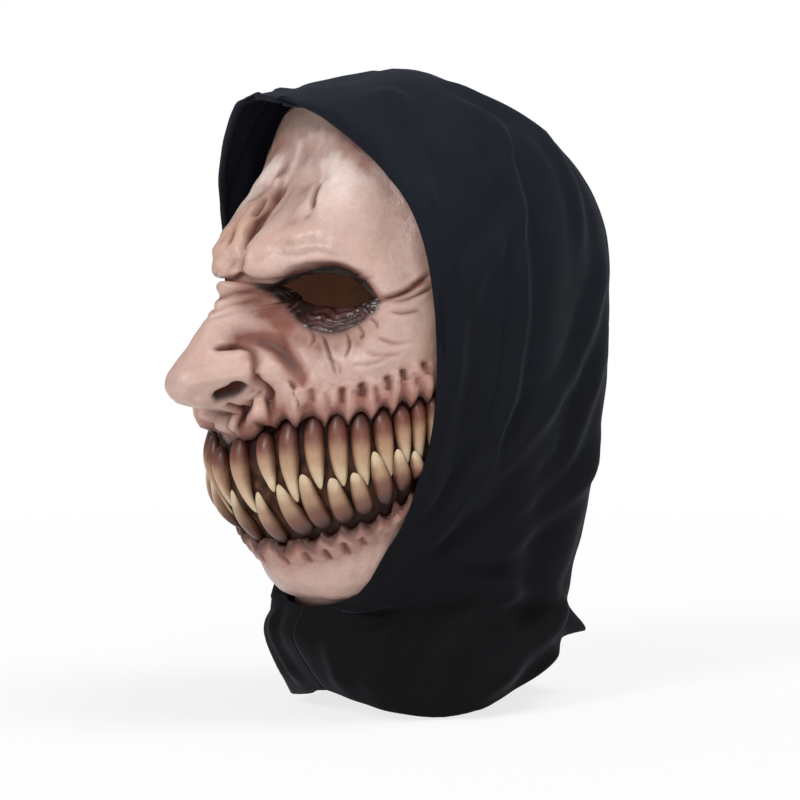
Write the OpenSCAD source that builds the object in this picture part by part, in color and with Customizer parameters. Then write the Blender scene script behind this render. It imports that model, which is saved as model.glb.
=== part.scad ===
// Halloween mask: a cast latex monster face with a toothed grin, bonded into a black cloth hood.
// The wearer faces -Y and +Z is up. The origin is the centre of the wearer's head at eye level.
// Angles round the face run from 0 at the nose to 90 at the side edges, and are the same on both sides.

/* [Face form] */
// Height of the skin's top edge above the eyes
face_top = 94; // [88:1:98]
// Width of the face at the brow, where it is widest
face_w = 154; // [148:1:158]
// Width of the forehead as a share of the face's width
forehead_wide = 0.935; // [0.90:0.005:0.96]
// Width of the cheeks as a share of the face's width
cheek_wide = 0.987; // [0.96:0.001:1]
// Width at the mouth as a share of the face's width
mouth_wide = 0.903; // [0.87:0.001:0.93]
// Width at the lower lip as a share of the face's width
jaw_wide = 0.773; // [0.74:0.001:0.80]
// Width of the chin as a share of the face's width
chin_wide = 0.623; // [0.59:0.001:0.66]
// Reach of the face in front of the head's centre at the mouth, where it is deepest
face_reach = 91; // [86:1:96]
// Reach of the forehead as a share of the face's reach
forehead_deep = 0.60; // [0.56:0.005:0.64]
// Reach of the brow as a share of the face's reach
brow_deep = 0.868; // [0.83:0.001:0.91]
// Reach of the cheeks as a share of the face's reach
cheek_deep = 0.934; // [0.90:0.001:0.97]
// Reach of the lower lip as a share of the face's reach
jaw_deep = 0.791; // [0.75:0.001:0.83]
// Reach of the chin as a share of the face's reach
chin_deep = 0.65; // [0.61:0.005:0.69]
// Depth of the chin's underside below the eyes
chin_drop = 150; // [146:1:154]
// Thickness of the latex skin
skin_t = 2.2; // [1.6:0.1:2.8]

/* [Nose] */
// How far the nose stands out of the face
nose_raise = 46; // [34:1:52]
// Width of the nose at its tip
nose_w = 38; // [30:1:42]
// Depth of the nose tip below the eyes
nose_drop = 40; // [36:1:44]

/* [Eyes and brow] */
// Distance between the middles of the eye holes
eye_span = 71; // [64:1:74]
// Width of an eye hole
eye_w = 48; // [40:1:50]
// Height of an eye hole
eye_h = 15; // [11:1:17]
// Depth of the eye sockets
socket_depth = 11; // [6:1:13]
// How far the brow ridge stands out
brow_raise = 14.5; // [10:0.5:16]

/* [Folds] */
// How far the folds beside the nose stand out
cheek_fold = 7; // [4:0.5:8]
// How far the pillar under the nose stands out
lip_pillar = 8; // [5:0.5:9]
// How far the pillars beside it stand out
side_pillar = 9.5; // [6:0.5:10]

/* [Mouth] */
// Depth of the upper lip below the eyes, in the middle of the cheek
upper_lip_drop = 57; // [54:1:60]
// Depth of the lower lip below the eyes, at the middle of the chin
lower_lip_drop = 120; // [117:1:123]
// How far the lips stand out
lip_raise = 4.5; // [3:0.5:6]
// Angle of the mouth's corners round the face
mouth_corner = 77; // [74:1:79]
// Thickness of the gum insert behind the lips
gum_t = 2; // [1.5:0.1:3]
// Overlap of the gum insert behind the skin
gum_lap = 5; // [3:0.5:6]

/* [Teeth] */
// Upper teeth on each side of the middle one
upper_side_teeth = 9; // [7:1:9]
// Angle between neighbouring upper teeth near the middle
tooth_pitch = 10.3; // [9.5:0.1:10.5]
// Extra angle on each side of the middle upper tooth
front_room = 3; // [0:0.5:3.5]
// Width of the widest teeth
tooth_w = 10; // [8:0.5:10.5]
// Thickness of a tooth
tooth_t = 6.5; // [4:0.5:8]
// Length of the longest upper tooth
upper_tooth_l = 36; // [30:1:38]
// Length of the longest lower tooth
lower_tooth_l = 30; // [24:1:31]

/* [Hood] */
// Thickness of the hood cloth with its lining
hood_t = 1.2; // [0.8:0.1:1.8]
// Room between the side of the skin and the hood
hood_ease = 5.5; // [4.5:0.5:8]
// Height of the hood's crown above the eyes
crown_z = 111; // [108:1:120]
// Reach of the hood behind the head's centre
hood_back = 128; // [120:1:134]
// Reach of the hood's front edge over the forehead
hood_brim = 24; // [18:1:28]
// Depth of the hem below the eyes at the front seam
hem_front_drop = 192; // [186:1:198]
// Depth of the hem below the eyes at the back seam
hem_back_drop = 173; // [168:1:180]
// Depth of the folds in the cloth
fold_depth = 3; // [1:0.5:4]
// Width of the seam tapes
tape_w = 8; // [6:0.5:10]
// Thickness of the seam tapes
tape_t = 0.8; // [0.5:0.1:1.2]

/* [Fits] */
// Gap between pieces that are glued or sewn to each other
seat_gap = 0.3; // [0.2:0.05:0.4]

/* [Hidden] */

forehead_w = face_w * forehead_wide;
brow_w = face_w;
cheek_w = face_w * cheek_wide;
mouth_w = face_w * mouth_wide;
jaw_w = face_w * jaw_wide;
chin_w = face_w * chin_wide;
forehead_reach = face_reach * forehead_deep;
brow_reach = face_reach * brow_deep;
cheek_reach = face_reach * cheek_deep;
mouth_reach = face_reach;
jaw_reach = face_reach * jaw_deep;
chin_reach = face_reach * chin_deep;

face_back = 8;              // how far the skin's side edges lie in front of the head's centre
seam_gap = 0.2;             // gap between the two hood panels
skin_colour = [0.80, 0.62, 0.55];
gum_colour = [0.16, 0.07, 0.05];
tooth_colour = [0.78, 0.63, 0.44];
cloth_colour = [0.02, 0.02, 0.025];
tape_colour = [0.05, 0.05, 0.055];
bond_colour = [0.10, 0.10, 0.10];

// Plain maths
function clamp(x, low, high) = min(max(x, low), high);
function lerp(a, b, s) = a + (b - a) * s;
function ease(a, b, x) = let (s = clamp((x - a) / (b - a), 0, 1)) s * s * (3 - 2 * s);
function bell(x, s) = exp(-x * x / (2 * s * s));
function unit(v) = v / norm(v);
function flat(rows) = [for (row = rows) for (point = row) point];
function steps(a, b, n) = [for (i = [0:n - 1]) lerp(a, b, i / n)];

// Smooth curve through a table whose first column is the place along it, in rising order
function span(table, x) =
    let (below = [for (k = [0:len(table) - 2]) if (x >= table[k][0]) k])
    len(below) == 0 ? 0 : below[len(below) - 1];
function curve(table, x, col) =
    let (last = len(table) - 1, k = span(table, x),
         s = clamp((x - table[k][0]) / (table[k + 1][0] - table[k][0]), 0, 1),
         a = table[max(k - 1, 0)][col], b = table[k][col],
         c = table[k + 1][col], d = table[min(k + 2, last)][col])
    b + s * (c - a + s * (2 * a - 5 * b + 4 * c - d + s * (3 * b - a - 3 * c + d))) / 2;

// Stations of the face from the chin up: place, height, reach, half width
under_run = 22;             // length of the lip of skin under the chin
FACE = [
    [-chin_drop - under_run, -chin_drop, chin_reach - 32, chin_w / 2 - 20],
    [-chin_drop, -chin_drop + 2, chin_reach - 8, chin_w / 2 - 8],
    [-chin_drop + 9, -chin_drop + 9, chin_reach, chin_w / 2],
    [-lower_lip_drop, -lower_lip_drop, jaw_reach, jaw_w / 2],
    [-88, -88, mouth_reach, mouth_w / 2],
    [-30, -30, cheek_reach, cheek_w / 2],
    [12, 12, brow_reach, brow_w / 2],
    [58, 58, forehead_reach, forehead_w / 2],
    [face_top, face_top, forehead_reach - 9, forehead_w / 2 - 13],
];
function face_z(p) = curve(FACE, p, 1);
function reach(p) = curve(FACE, p, 2);
function half_w(p) = curve(FACE, p, 3);

// The plain form of the face at angle t and place p, and the level direction out of it
function base_pt(t, p) = [half_w(p) * sin(t), -face_back - (reach(p) - face_back) * cos(t), face_z(p)];
function out_dir(t, p) = unit([sin(t) / half_w(p), -cos(t) / (reach(p) - face_back), 0]);

// Lines of the lips
function upper_lip(t) =
    -upper_lip_drop - 11 * bell(t, 12) + 11 * ease(40, mouth_corner + 4, abs(t));
function lower_lip(t) =
    -lower_lip_drop + 14 * ease(10, 62, abs(t)) + 22 * ease(48, mouth_corner + 8, abs(t));

// Nose: its height along the ridge, from the lip to the forehead, and its half width in degrees
nose_deg = nose_w / 2 / (cheek_w / 2) * 180 / PI;
NOSE = [
    [-nose_drop - 15.5, 0, nose_deg],
    [-nose_drop - 12, 0.40, nose_deg],
    [-nose_drop - 7.5, 0.82, nose_deg],
    [-nose_drop - 2.5, 0.97, nose_deg],
    [-nose_drop + 2, 1.00, nose_deg],
    [-nose_drop + 9, 0.96, nose_deg - 1],
    [-nose_drop + 18, 0.78, nose_deg - 3],
    [-nose_drop + 32, 0.54, nose_deg - 5],
    [2, 0.36, nose_deg - 6],
    [18, 0.15, nose_deg - 3],
    [38, 0, nose_deg],
];
wing_lift = 8;              // how much higher the nose ends at its wings than in the middle
function nose_out(t, p) =
    let (q = p - wing_lift * ease(4, nose_deg, abs(t)) * (1 - ease(-nose_drop - 4, -nose_drop + 6, p)))
    q < NOSE[0][0] || q > NOSE[len(NOSE) - 1][0] ? 0
    : nose_raise * curve(NOSE, q, 1) * exp(-pow(abs(t) / curve(NOSE, q, 2), 3));

// Eye holes, in degrees round the face
eye_p = 3;                  // height of the eye holes' middle
eye_t = asin(eye_span / 2 / half_w(eye_p));
eye_deg = eye_w / 2 / reach(eye_p) * 180 / PI;

// Brow: angle round the face, height of its lower edge above the eyes, share of its full bulge
BROW = [
    [0, 10.5, 0.34],
    [8.5, 8.2, 0.97],
    [16, 10.2, 1.00],
    [28, 13.6, 0.80],
    [36, 13.2, 0.58],
    [46, 8.0, 0.30],
    [52, -1.0, 0.14],
    [60, -6.0, 0],
];
// A tight underside over the lid, and a slope back onto the forehead
function brow_form(a, p) =
    let (d = p - curve(BROW, a, 1))
    ease(-1.5, 5.5, d) * (1 - ease(19, 44, d));

// Fold that runs from the wing of the nose to the upper lip: height, angle round the face
FOLD = [[-58, 26.4], [-43, 21.2], [-28, 15], [-16, 10]];

// Relief of the face over its plain form
function relief(t, p) =
    let (a = abs(t), fold = a - curve(FOLD, p, 1))
    (1 - ease(68, 80, a)) * (
        brow_raise * curve(BROW, a, 2) * brow_form(a, p)
        - socket_depth * bell(a - eye_t - 2, 12) * bell(p - eye_p, 9)
        - 6 * bell(a - eye_t + eye_deg, 5) * bell(p - eye_p, 7)
        + 5 * bell(a - eye_t - 3, 11) * bell(p - eye_p + 17, 6)
        + 5 * bell(a - 52, 14) * bell(p + 27, 14)
        + 3 * bell(a - nose_deg, 4.5) * bell(p + nose_drop + 4, 6)
        + 4.5 * bell(a - nose_deg + 1.5, 4.6) * bell(p + nose_drop - 4.5, 7)
        + cheek_fold * bell(fold, 3.4) * ease(-72, -60, p) * (1 - ease(-34, -22, p))
        + 4 * bell(fold - 8, 4.5) * ease(-56, -46, p) * (1 - ease(-24, -12, p))
        + lip_pillar * bell(a, 2.8) * ease(-67, -61, p) * (1 - ease(-52, -46, p))
        + side_pillar * bell(a - 14, 3.2) * ease(-63, -58, p) * (1 - ease(-50, -44, p))
        + 4 * bell(a - 22, 12) * bell(p - 48, 15)
        + 6 * bell(t, 22) * bell(p + chin_drop - 13, 8))
    + lip_raise * (1 - ease(74, 88, a))
        * (bell(p - upper_lip(t) - 5, 5) + 0.8 * bell(p - lower_lip(t) + 4, 4));
// How far the brow hangs over the lid
function brow_hang(a, p) = 3 * brow_form(a, p) * ease(5, 12, a) * (1 - ease(36, 50, a));
function face_pt(t, p) =
    let (n = nose_out(t, p))
    base_pt(t, p) + relief(t, p) * out_dir(t, p) + [0, -n, -0.1 * n - brow_hang(abs(t), p)];

// Grid lines round an eye bend from squares into almond rings
function eye_ring(t, p) =
    let (a = abs(t), q = [(a - eye_t) / eye_deg, (p - eye_p) / (eye_h / 2)],
         m = max(abs(q[0]), abs(q[1])), r = max(norm(q), 0.001),
         lid = [q[0] / r, sign(q[1]) * (1 - pow(abs(q[0] / r), 2.2))],
         bent = q + (1 - ease(1, 1.6, m)) * (m * lid - q))
    [(t < 0 ? -1 : 1) * (eye_t + eye_deg * bent[0]), eye_p + eye_h / 2 * bent[1]];

// Grid of the face: columns at fixed angles, rows that follow the eyes and the lips
COL_KEYS = [0, eye_t - eye_deg, eye_t + eye_deg, mouth_corner, 90];
COL_STEPS = [5, 8, 7, 3];
HALF_COLS = concat([for (k = [0:3]) each steps(COL_KEYS[k], COL_KEYS[k + 1], COL_STEPS[k])], [90]);
COLS = concat([for (k = [len(HALF_COLS) - 1:-1:1]) -HALF_COLS[k]], HALF_COLS);
ROW_STEPS = [5, 8, 4, 13, 4, 8];
eye_row = ROW_STEPS[0] + ROW_STEPS[1];
lip_row = eye_row + ROW_STEPS[2] + ROW_STEPS[3];
function top_edge(t) = face_top - 36 * ease(12, 75, abs(t));
function row_keys(t) = [top_edge(t), 40, eye_p + eye_h / 2, eye_p - eye_h / 2,
                        upper_lip(t), lower_lip(t), -chin_drop - under_run];
function rows(t) =
    let (keys = row_keys(t))
    concat([for (k = [0:5]) each steps(keys[k], keys[k + 1], ROW_STEPS[k])], [keys[6]]);
function in_eye(row, mid) =
    row >= eye_row && row < eye_row + ROW_STEPS[2] && abs(abs(mid) - eye_t) < eye_deg;
function in_mouth(row, mid) =
    row >= lip_row && row < lip_row + ROW_STEPS[4] && abs(mid) < mouth_corner;

// Normals of a grid of points, pointing out where its rows run down and its columns to the wearer's left
function normals(grid) =
    let (n = len(grid) - 1, m = len(grid[0]) - 1)
    [for (i = [0:n]) [for (j = [0:m])
        unit(cross(grid[min(i + 1, n)][j] - grid[max(i - 1, 0)][j],
                   grid[i][min(j + 1, m)] - grid[i][max(j - 1, 0)]))]];
function inset_by(grid, wall) =
    let (out = normals(grid))
    [for (i = [0:len(grid) - 1]) [for (j = [0:len(grid[0]) - 1]) grid[i][j] - wall * out[i][j]]];
function all_kept(grid) = [for (i = [0:len(grid) - 2]) [for (j = [0:len(grid[0]) - 2]) true]];

// A closed shell between two grids of points, open where a cell isn't kept
module shell(outer, inner, kept) {
    n = len(kept);
    m = len(kept[0]);
    under = (n + 1) * (m + 1);
    function at(i, j) = i * (m + 1) + j;
    function held(i, j) = i >= 0 && i < n && j >= 0 && j < m && kept[i][j];
    function rim(a, b) = [[b, a, a + under], [b, a + under, b + under]];
    faces = [for (i = [0:n - 1]) for (j = [0:m - 1]) if (kept[i][j])
        let (a = at(i, j), b = at(i, j + 1), c = at(i + 1, j + 1), d = at(i + 1, j))
        each concat(
            [[a, b, c], [a, c, d], [a + under, c + under, b + under], [a + under, d + under, c + under]],
            held(i - 1, j) ? [] : rim(a, b),
            held(i, j + 1) ? [] : rim(b, c),
            held(i + 1, j) ? [] : rim(c, d),
            held(i, j - 1) ? [] : rim(d, a))];
    polyhedron(concat(flat(outer), flat(inner)), faces, convexity = 10);
}

// The cast latex skin, from the hairline to under the chin, with eye holes and a mouth slot
module face_skin() {
    lines = [for (t = COLS) rows(t)];
    grid = [for (i = [0:len(lines[0]) - 1]) [for (j = [0:len(COLS) - 1])
        let (ring = eye_ring(COLS[j], lines[j][i])) face_pt(ring[0], ring[1])]];
    kept = [for (i = [0:len(grid) - 2]) [for (j = [0:len(COLS) - 2])
        let (mid = (COLS[j] + COLS[j + 1]) / 2) !in_eye(i, mid) && !in_mouth(i, mid)]];
    color(skin_colour) shell(grid, inset_by(grid, skin_t), kept);
}

// The gum insert, a curved web glued behind the lips. It dips between them, where the teeth stand.
gum_cols = 26;
gum_fit = 1.5 * skin_t + 4 * seat_gap; // depth of the gum's edge under the skin, where the lips slope
// Depth of the gum under the plain form of the face between the lips, more where the skin closes round them
function gum_dip(t) = lerp(seat_gap + 0.05, gum_fit, ease(mouth_corner - 2, mouth_corner, abs(t)));
function gum_seat(t, p) = min(relief(t, p) - gum_fit, 1.2);
function gum_rows(t) =
    let (up = upper_lip(t), low = lower_lip(t), third = (up - low - 8) / 3, dip = -gum_dip(t))
    [[up + gum_lap, gum_seat(t, up + gum_lap)], [up, min(gum_seat(t, up), dip)], [up - 4, dip],
     [up - 4 - third, dip], [low + 4 + third, dip],
     [low + 4, dip], [low, min(gum_seat(t, low), dip)], [low - gum_lap, gum_seat(t, low - gum_lap)]];
GUM_COLS = concat([-mouth_corner - 4, -mouth_corner],
                  [for (j = [0:gum_cols]) (mouth_corner - 2) * (2 * j / gum_cols - 1)],
                  [mouth_corner, mouth_corner + 4]);
function gum_grid(depth) =
    let (lines = [for (t = GUM_COLS) gum_rows(t)])
    [for (i = [0:7]) [for (j = [0:len(GUM_COLS) - 1])
        let (t = GUM_COLS[j], spot = lines[j][i])
        base_pt(t, spot[0]) + (spot[1] - depth) * out_dir(t, spot[0])]];
module gum_insert() {
    outer = gum_grid(0);
    color(gum_colour) shell(outer, gum_grid(gum_t), all_kept(outer));
}

// A curved tooth that stands on the gum, with a flat back and a domed front.
// It runs from its root to its tip, both given as an angle and a place on the face.
tooth_rings = 7;
tooth_sides = 8;
function tooth_half(s) =
    s < 0.35 ? lerp(0.66, 1, ease(0, 0.35, s)) : 1 - 0.92 * pow((s - 0.35) / 0.65, 1.6);
function tooth_rise(s) =
    tooth_t * (s < 0.25 ? lerp(0.5, 1, s / 0.25) : lerp(1, 0.15, pow((s - 0.25) / 0.75, 1.6)));
function tooth_ring(root, tip, w, lift, s) =
    let (here = lerp(root, tip, s), next = lerp(root, tip, s + 0.02),
         foot = base_pt(here[0], here[1]), out = out_dir(here[0], here[1]),
         along = unit(base_pt(next[0], next[1]) - foot), across = unit(cross(out, along)))
    [for (k = [0:tooth_sides - 1])
        let (b = 180 * k / (tooth_sides - 1), up = seat_gap + lift * s + tooth_rise(s) * sin(b))
        foot + across * w / 2 * tooth_half(s) * cos(b) + out * up];
module tooth(root, tip, w, lift) {
    rings = [for (i = [0:tooth_rings]) each tooth_ring(root, tip, w, lift, i / tooth_rings)];
    n = tooth_sides;
    top = tooth_rings * n;
    sides = [for (i = [0:tooth_rings - 1]) for (k = [0:n - 1])
        let (a = i * n + k, b = i * n + (k + 1) % n)
        each [[b, a, b + n], [b + n, a, a + n]]];
    root_cap = [for (k = [1:n - 2]) [0, k, k + 1]];
    tip_cap = [for (k = [1:n - 2]) [top, top + k + 1, top + k]];
    polyhedron(rings, concat(sides, root_cap, tip_cap), convexity = 4);
}

// Upper teeth crowd together towards the corners, and lean outwards a little
UPPER_SHARE = [1, 0.8, 0.97, 0.9, 0.88, 0.91, 0.84, 0.72, 0.7, 0.64];
upper_lean = 2.5;
mouth_arc = (mouth_w / 2 + mouth_reach - face_back) / 2 * PI / 180;
function upper_t(k) = front_room * min(k, 1) + k * (tooth_pitch - 0.33 * (k - 1));
function upper_tip_t(k) = upper_t(k) + upper_lean * min(k, 1);
function room(k) = (upper_t(k + 1) - upper_t(k)) * mouth_arc;
function width_at(k) = min(tooth_w, 0.86 * room(k));
module upper_teeth() {
    color(tooth_colour) for (k = [-upper_side_teeth:upper_side_teeth]) {
        t = sign(k) * upper_t(abs(k));
        root = [t, min(upper_lip(t - 4), upper_lip(t + 4)) - 1];
        tip = [sign(k) * upper_tip_t(abs(k)), root[1] - upper_tooth_l * UPPER_SHARE[abs(k)]];
        tooth(root, tip, width_at(abs(k)), 0);
    }
}

// Lower teeth lean towards the middle, and their tips stand between the upper teeth
LOWER_SHARE = [0.94, 0.74, 0.82, 0.86, 0.64, 0.46, 0.42, 0.42];
lower_lean = 4;
module lower_teeth() {
    color(tooth_colour) for (side = [-1, 1]) for (k = [0:upper_side_teeth - 2]) {
        tip_t = (upper_tip_t(k) + upper_tip_t(k + 1)) / 2 - 0.3;
        root_t = tip_t + lower_lean * (k == 0 ? 0.2 : 1);
        root = [side * root_t, max(lower_lip(root_t - 4), lower_lip(root_t + 4)) + 2];
        tip = [side * tip_t, root[1] + lower_tooth_l * LOWER_SHARE[k]];
        tooth(root, tip, 0.94 * width_at(k + 0.5), 1.5);
    }
}

// Front edge of the hood: place from crown to hem, then the spot on the face it stands over,
// its distance from the face, and how far it is lifted
neck_s = 0.87;              // where the hood's front edge passes under the chin
RIM = [
    [0.00, face_top, 0, hood_brim, 5],
    [0.06, face_top - 3, 12, hood_brim, -1],
    [0.14, 82, 27, hood_brim + 1, -3],
    [0.24, 60, 48, hood_brim - 3, -4],
    [0.36, 25, 63, hood_brim - 12, -1],
    [0.50, -20, 69.5, 10, 0],
    [0.64, -66, 71, 8, 0],
    [0.74, -102, 65, 8, 0],
    [0.80, -126, 54.5, 8, 0],
    [0.84, -chin_drop + 6, 40, 8, -1],
    [neck_s, -chin_drop - 4, 0, 4, -4],
];
// Front seam under the chin: place, reach, depth below the eyes
NECK = [
    [neck_s, chin_reach - 5, chin_drop + 2],
    [0.91, chin_reach + 1, chin_drop + 15],
    [0.95, chin_reach - 8, chin_drop + 30],
    [1.00, chin_reach - 19, hem_front_drop],
];
// Middle line of the hood from crown to hem: place, reach behind the head's centre, height
BACK = [
    [0.00, 2 - forehead_reach, crown_z - 11],
    [0.06, 26 - forehead_reach, crown_z - 6],
    [0.12, 8, crown_z],
    [0.24, hood_back - 62, crown_z - 23],
    [0.36, hood_back - 12, 48],
    [0.50, hood_back, -8],
    [0.64, hood_back - 3, -68],
    [0.78, hood_back - 16, -124],
    [neck_s, hood_back - 29, -152],
    [1.00, hood_back - 16, -hem_back_drop],
];
// Half width of the hood from crown to hem
SIDE = [
    [0.00, seam_gap / 2],
    [0.06, 27],
    [0.12, 48],
    [0.24, forehead_w / 2 + hood_ease - 1],
    [0.36, brow_w / 2 + hood_ease],
    [0.50, cheek_w / 2 + hood_ease],
    [0.64, mouth_w / 2 + hood_ease + 3],
    [0.78, jaw_w / 2 + hood_ease + 5],
    [neck_s, chin_w / 2 + 18],
    [1.00, chin_w / 2 + 17],
];
mid_y = 20;                 // where the hood is widest
function rim_pt(s) =
    let (p = curve(RIM, s, 1), t = curve(RIM, s, 2))
    base_pt(t, p) + curve(RIM, s, 3) * out_dir(t, p) + [0, 0, curve(RIM, s, 4)];
function hood_front(s) =
    s < neck_s ? rim_pt(s) : [seam_gap / 2, -curve(NECK, s, 1), -curve(NECK, s, 2)];

// Folds of the hanging cloth: a turned rim, a long ridge that runs down into the rim at the jaw,
// soft drapes behind it, and swags round the neck
function fold(s, i) =
    let (ridge = 0.26 - 0.14 * ease(0.4, 0.75, s), calm = 1 - ease(0.8, 0.93, i))
    fold_depth * (
        0.5 * bell(i - 0.06, 0.03) * ease(0.05, 0.2, s) * (1 - ease(0.7, 0.84, s))
        + bell(i - ridge, 0.05) * ease(0.08, 0.22, s) * (1 - ease(0.66, 0.82, s))
        - 0.5 * bell(i - ridge - 0.13, 0.05) * ease(0.15, 0.3, s) * (1 - ease(0.7, 0.84, s))
        + 0.6 * sin(360 * (4.2 * i + 0.8 * s)) * ease(0.3, 0.6, s) * ease(0.36, 0.5, i) * calm
        + bell(s - 0.9 - 0.05 * sin(360 * i - 60), 0.022) * ease(0.03, 0.2, i) * calm
        + 0.9 * sin(360 * (3 * i - 2.2 * s)) * ease(0.86, 0.98, s) * ease(0.05, 0.2, i) * calm);
front_share = 0.42;         // share of a row that lies in front of the widest place
function hood_pt(s, i) =
    let (a = hood_front(s), w = max(curve(SIDE, s, 1), a[0]),
         by = curve(BACK, s, 1), bz = curve(BACK, s, 2),
         my = lerp(a[1], by, clamp((mid_y - a[1]) / (by - a[1]), 0.3, 0.6)),
         f = clamp(i / front_share, 0, 1) * 90, g = clamp((i - front_share) / (1 - front_share), 0, 1) * 90,
         x = i < front_share ? lerp(a[0], w, sin(f)) : lerp(seam_gap / 2, w, cos(g)),
         y = i < front_share ? lerp(a[1], my, 1 - cos(f)) : lerp(my, by, sin(g)),
         sag = 16 * ease(0.86, 1, s) * bell(i - 0.32, 0.17),
         z = lerp(a[2], bz, pow((y - a[1]) / (by - a[1]), 1.4)) - sag,
         out = unit([x / w, (y - my) / (y < my ? my - a[1] : by - my), 0] + [0.001, 0, 0]))
    [max(x + fold(s, i) * out[0], seam_gap / 2), y + fold(s, i) * out[1], z];
hood_rows = 27;
hood_cols = 21;
neck_row = 20;              // the row that starts the front seam
function row_s(i) =
    i < neck_row ? neck_s * i / neck_row : lerp(neck_s, 1, (i - neck_row) / (hood_rows - neck_row));
HOOD = [for (i = [0:hood_rows]) [for (j = [0:hood_cols]) hood_pt(row_s(i), j / hood_cols)]];
HOOD_IN = [for (row = inset_by(HOOD, hood_t)) [for (v = row) [max(v[0], seam_gap / 2), v[1], v[2]]]];
module hood_half() {
    color(cloth_colour) shell(HOOD, HOOD_IN, all_kept(HOOD));
}
module hood_left_panel() {
    hood_half();
}
module hood_right_panel() {
    mirror([1, 0, 0]) hood_half();
}

// A tape laid along a line of points in the middle plane, on the side that faces the wearer
module tape(line, side) {
    last = len(line) - 1;
    in_dirs = [for (k = [0:last])
        let (d = unit(line[min(k + 1, last)] - line[max(k - 1, 0)])) side * [0, -d[2], d[1]]];
    function strip(depth) = [for (k = [0:last]) [for (x = [-side * tape_w / 2, side * tape_w / 2])
        [x, line[k][1], line[k][2]] + depth * in_dirs[k]]];
    near = strip(seat_gap + 0.2);
    color(tape_colour) shell(near, strip(seat_gap + 0.2 + tape_t), all_kept(near));
}
module crown_seam_tape() {
    tape([for (i = [1:hood_rows - 1]) HOOD_IN[i][hood_cols]], -1);
}
module front_seam_tape() {
    tape([for (i = [neck_row:hood_rows]) HOOD_IN[i][0]], 1);
}

// The strip that bonds the hood to the skin's side edge; it fills the room between the two
function skin_side(y, z) =
    let (t = acos(clamp((-y - face_back) / (reach(z) - face_back), 0, 1)))
    half_w(z) * sin(t) + max(relief(t, z), 0);
bond_w = 14;                // width of the bond strip
bond_rows = 16;
function hood_share(s, y) =
    let (a = hood_front(s), by = curve(BACK, s, 1),
         my = lerp(a[1], by, clamp((mid_y - a[1]) / (by - a[1]), 0.3, 0.6)))
    front_share / 90 * acos(clamp(1 - (y - a[1]) / (my - a[1]), -1, 1));
function bond_pt(s, y, near) =
    let (h = hood_pt(s, hood_share(s, y)))
    [near ? h[0] - hood_t - 3 * seat_gap : skin_side(y, h[2]) + 5 * seat_gap, y, h[2]];
function bond_grid(near) =
    [for (k = [0:bond_rows]) [for (j = [0:2])
        bond_pt(lerp(0.26, 0.72, k / bond_rows), -face_back - 2 - bond_w + bond_w * j / 2, near)]];
module bond_half() {
    outer = bond_grid(true);
    color(bond_colour) shell(outer, bond_grid(false), all_kept(outer));
}
module left_bond_strip() {
    bond_half();
}
module right_bond_strip() {
    mirror([1, 0, 0]) bond_half();
}

face_skin();
gum_insert();
upper_teeth();
lower_teeth();
hood_left_panel();
hood_right_panel();
crown_seam_tape();
front_seam_tape();
left_bond_strip();
right_bond_strip();
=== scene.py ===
import bmesh
import bpy
import numpy as np
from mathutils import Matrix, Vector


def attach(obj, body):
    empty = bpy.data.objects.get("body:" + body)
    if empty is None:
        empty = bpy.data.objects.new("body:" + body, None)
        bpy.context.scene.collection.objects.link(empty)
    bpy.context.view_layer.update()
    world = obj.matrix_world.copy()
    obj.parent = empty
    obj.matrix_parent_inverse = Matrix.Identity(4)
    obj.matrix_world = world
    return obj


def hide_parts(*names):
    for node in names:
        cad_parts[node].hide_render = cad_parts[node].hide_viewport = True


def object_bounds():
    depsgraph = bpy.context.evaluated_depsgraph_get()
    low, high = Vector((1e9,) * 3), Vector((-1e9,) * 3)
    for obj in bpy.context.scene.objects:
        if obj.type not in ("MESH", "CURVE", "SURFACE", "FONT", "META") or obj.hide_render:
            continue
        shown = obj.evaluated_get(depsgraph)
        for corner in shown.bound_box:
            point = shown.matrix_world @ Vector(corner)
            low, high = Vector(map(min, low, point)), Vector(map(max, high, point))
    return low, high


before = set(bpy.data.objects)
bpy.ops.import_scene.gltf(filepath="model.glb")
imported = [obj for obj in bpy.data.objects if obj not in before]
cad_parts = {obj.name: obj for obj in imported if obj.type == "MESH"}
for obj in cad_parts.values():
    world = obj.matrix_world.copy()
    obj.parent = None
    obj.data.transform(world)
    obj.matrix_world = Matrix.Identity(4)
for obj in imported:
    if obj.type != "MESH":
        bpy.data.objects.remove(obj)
cad_box = [[float(v) for v in corner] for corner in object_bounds()]

# Lengths are in millimetres until a mesh is made. The mask faces -Y, and the wearer's left is +X.
# The face is drawn on a chart: t is the angle round it from the nose, in degrees, and p the place up it.
MM = 0.001


# Plain maths

def clamp(x, low, high):
    return np.minimum(np.maximum(x, low), high)


def lerp(a, b, s):
    return a + (b - a) * s


def ease(a, b, x):
    s = clamp((x - a) / (b - a), 0, 1)
    return s * s * (3 - 2 * s)


def bell(x, s):
    return np.exp(-x * x / (2 * s * s))


def span(x, a, b, c, d):
    """1 from b to c, with a soft fall to 0 at a and at d."""
    return ease(a, b, x) * (1 - ease(c, d, x))


def tint(colour, other, share):
    """Moves each colour of a grid toward another by its own share."""
    return lerp(colour, other, share[..., None])


def sin_deg(x):
    return np.sin(np.radians(x))


def cos_deg(x):
    return np.cos(np.radians(x))


def unit(v):
    return v / np.maximum(np.linalg.norm(v, axis=-1, keepdims=True), 1e-9)


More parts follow.
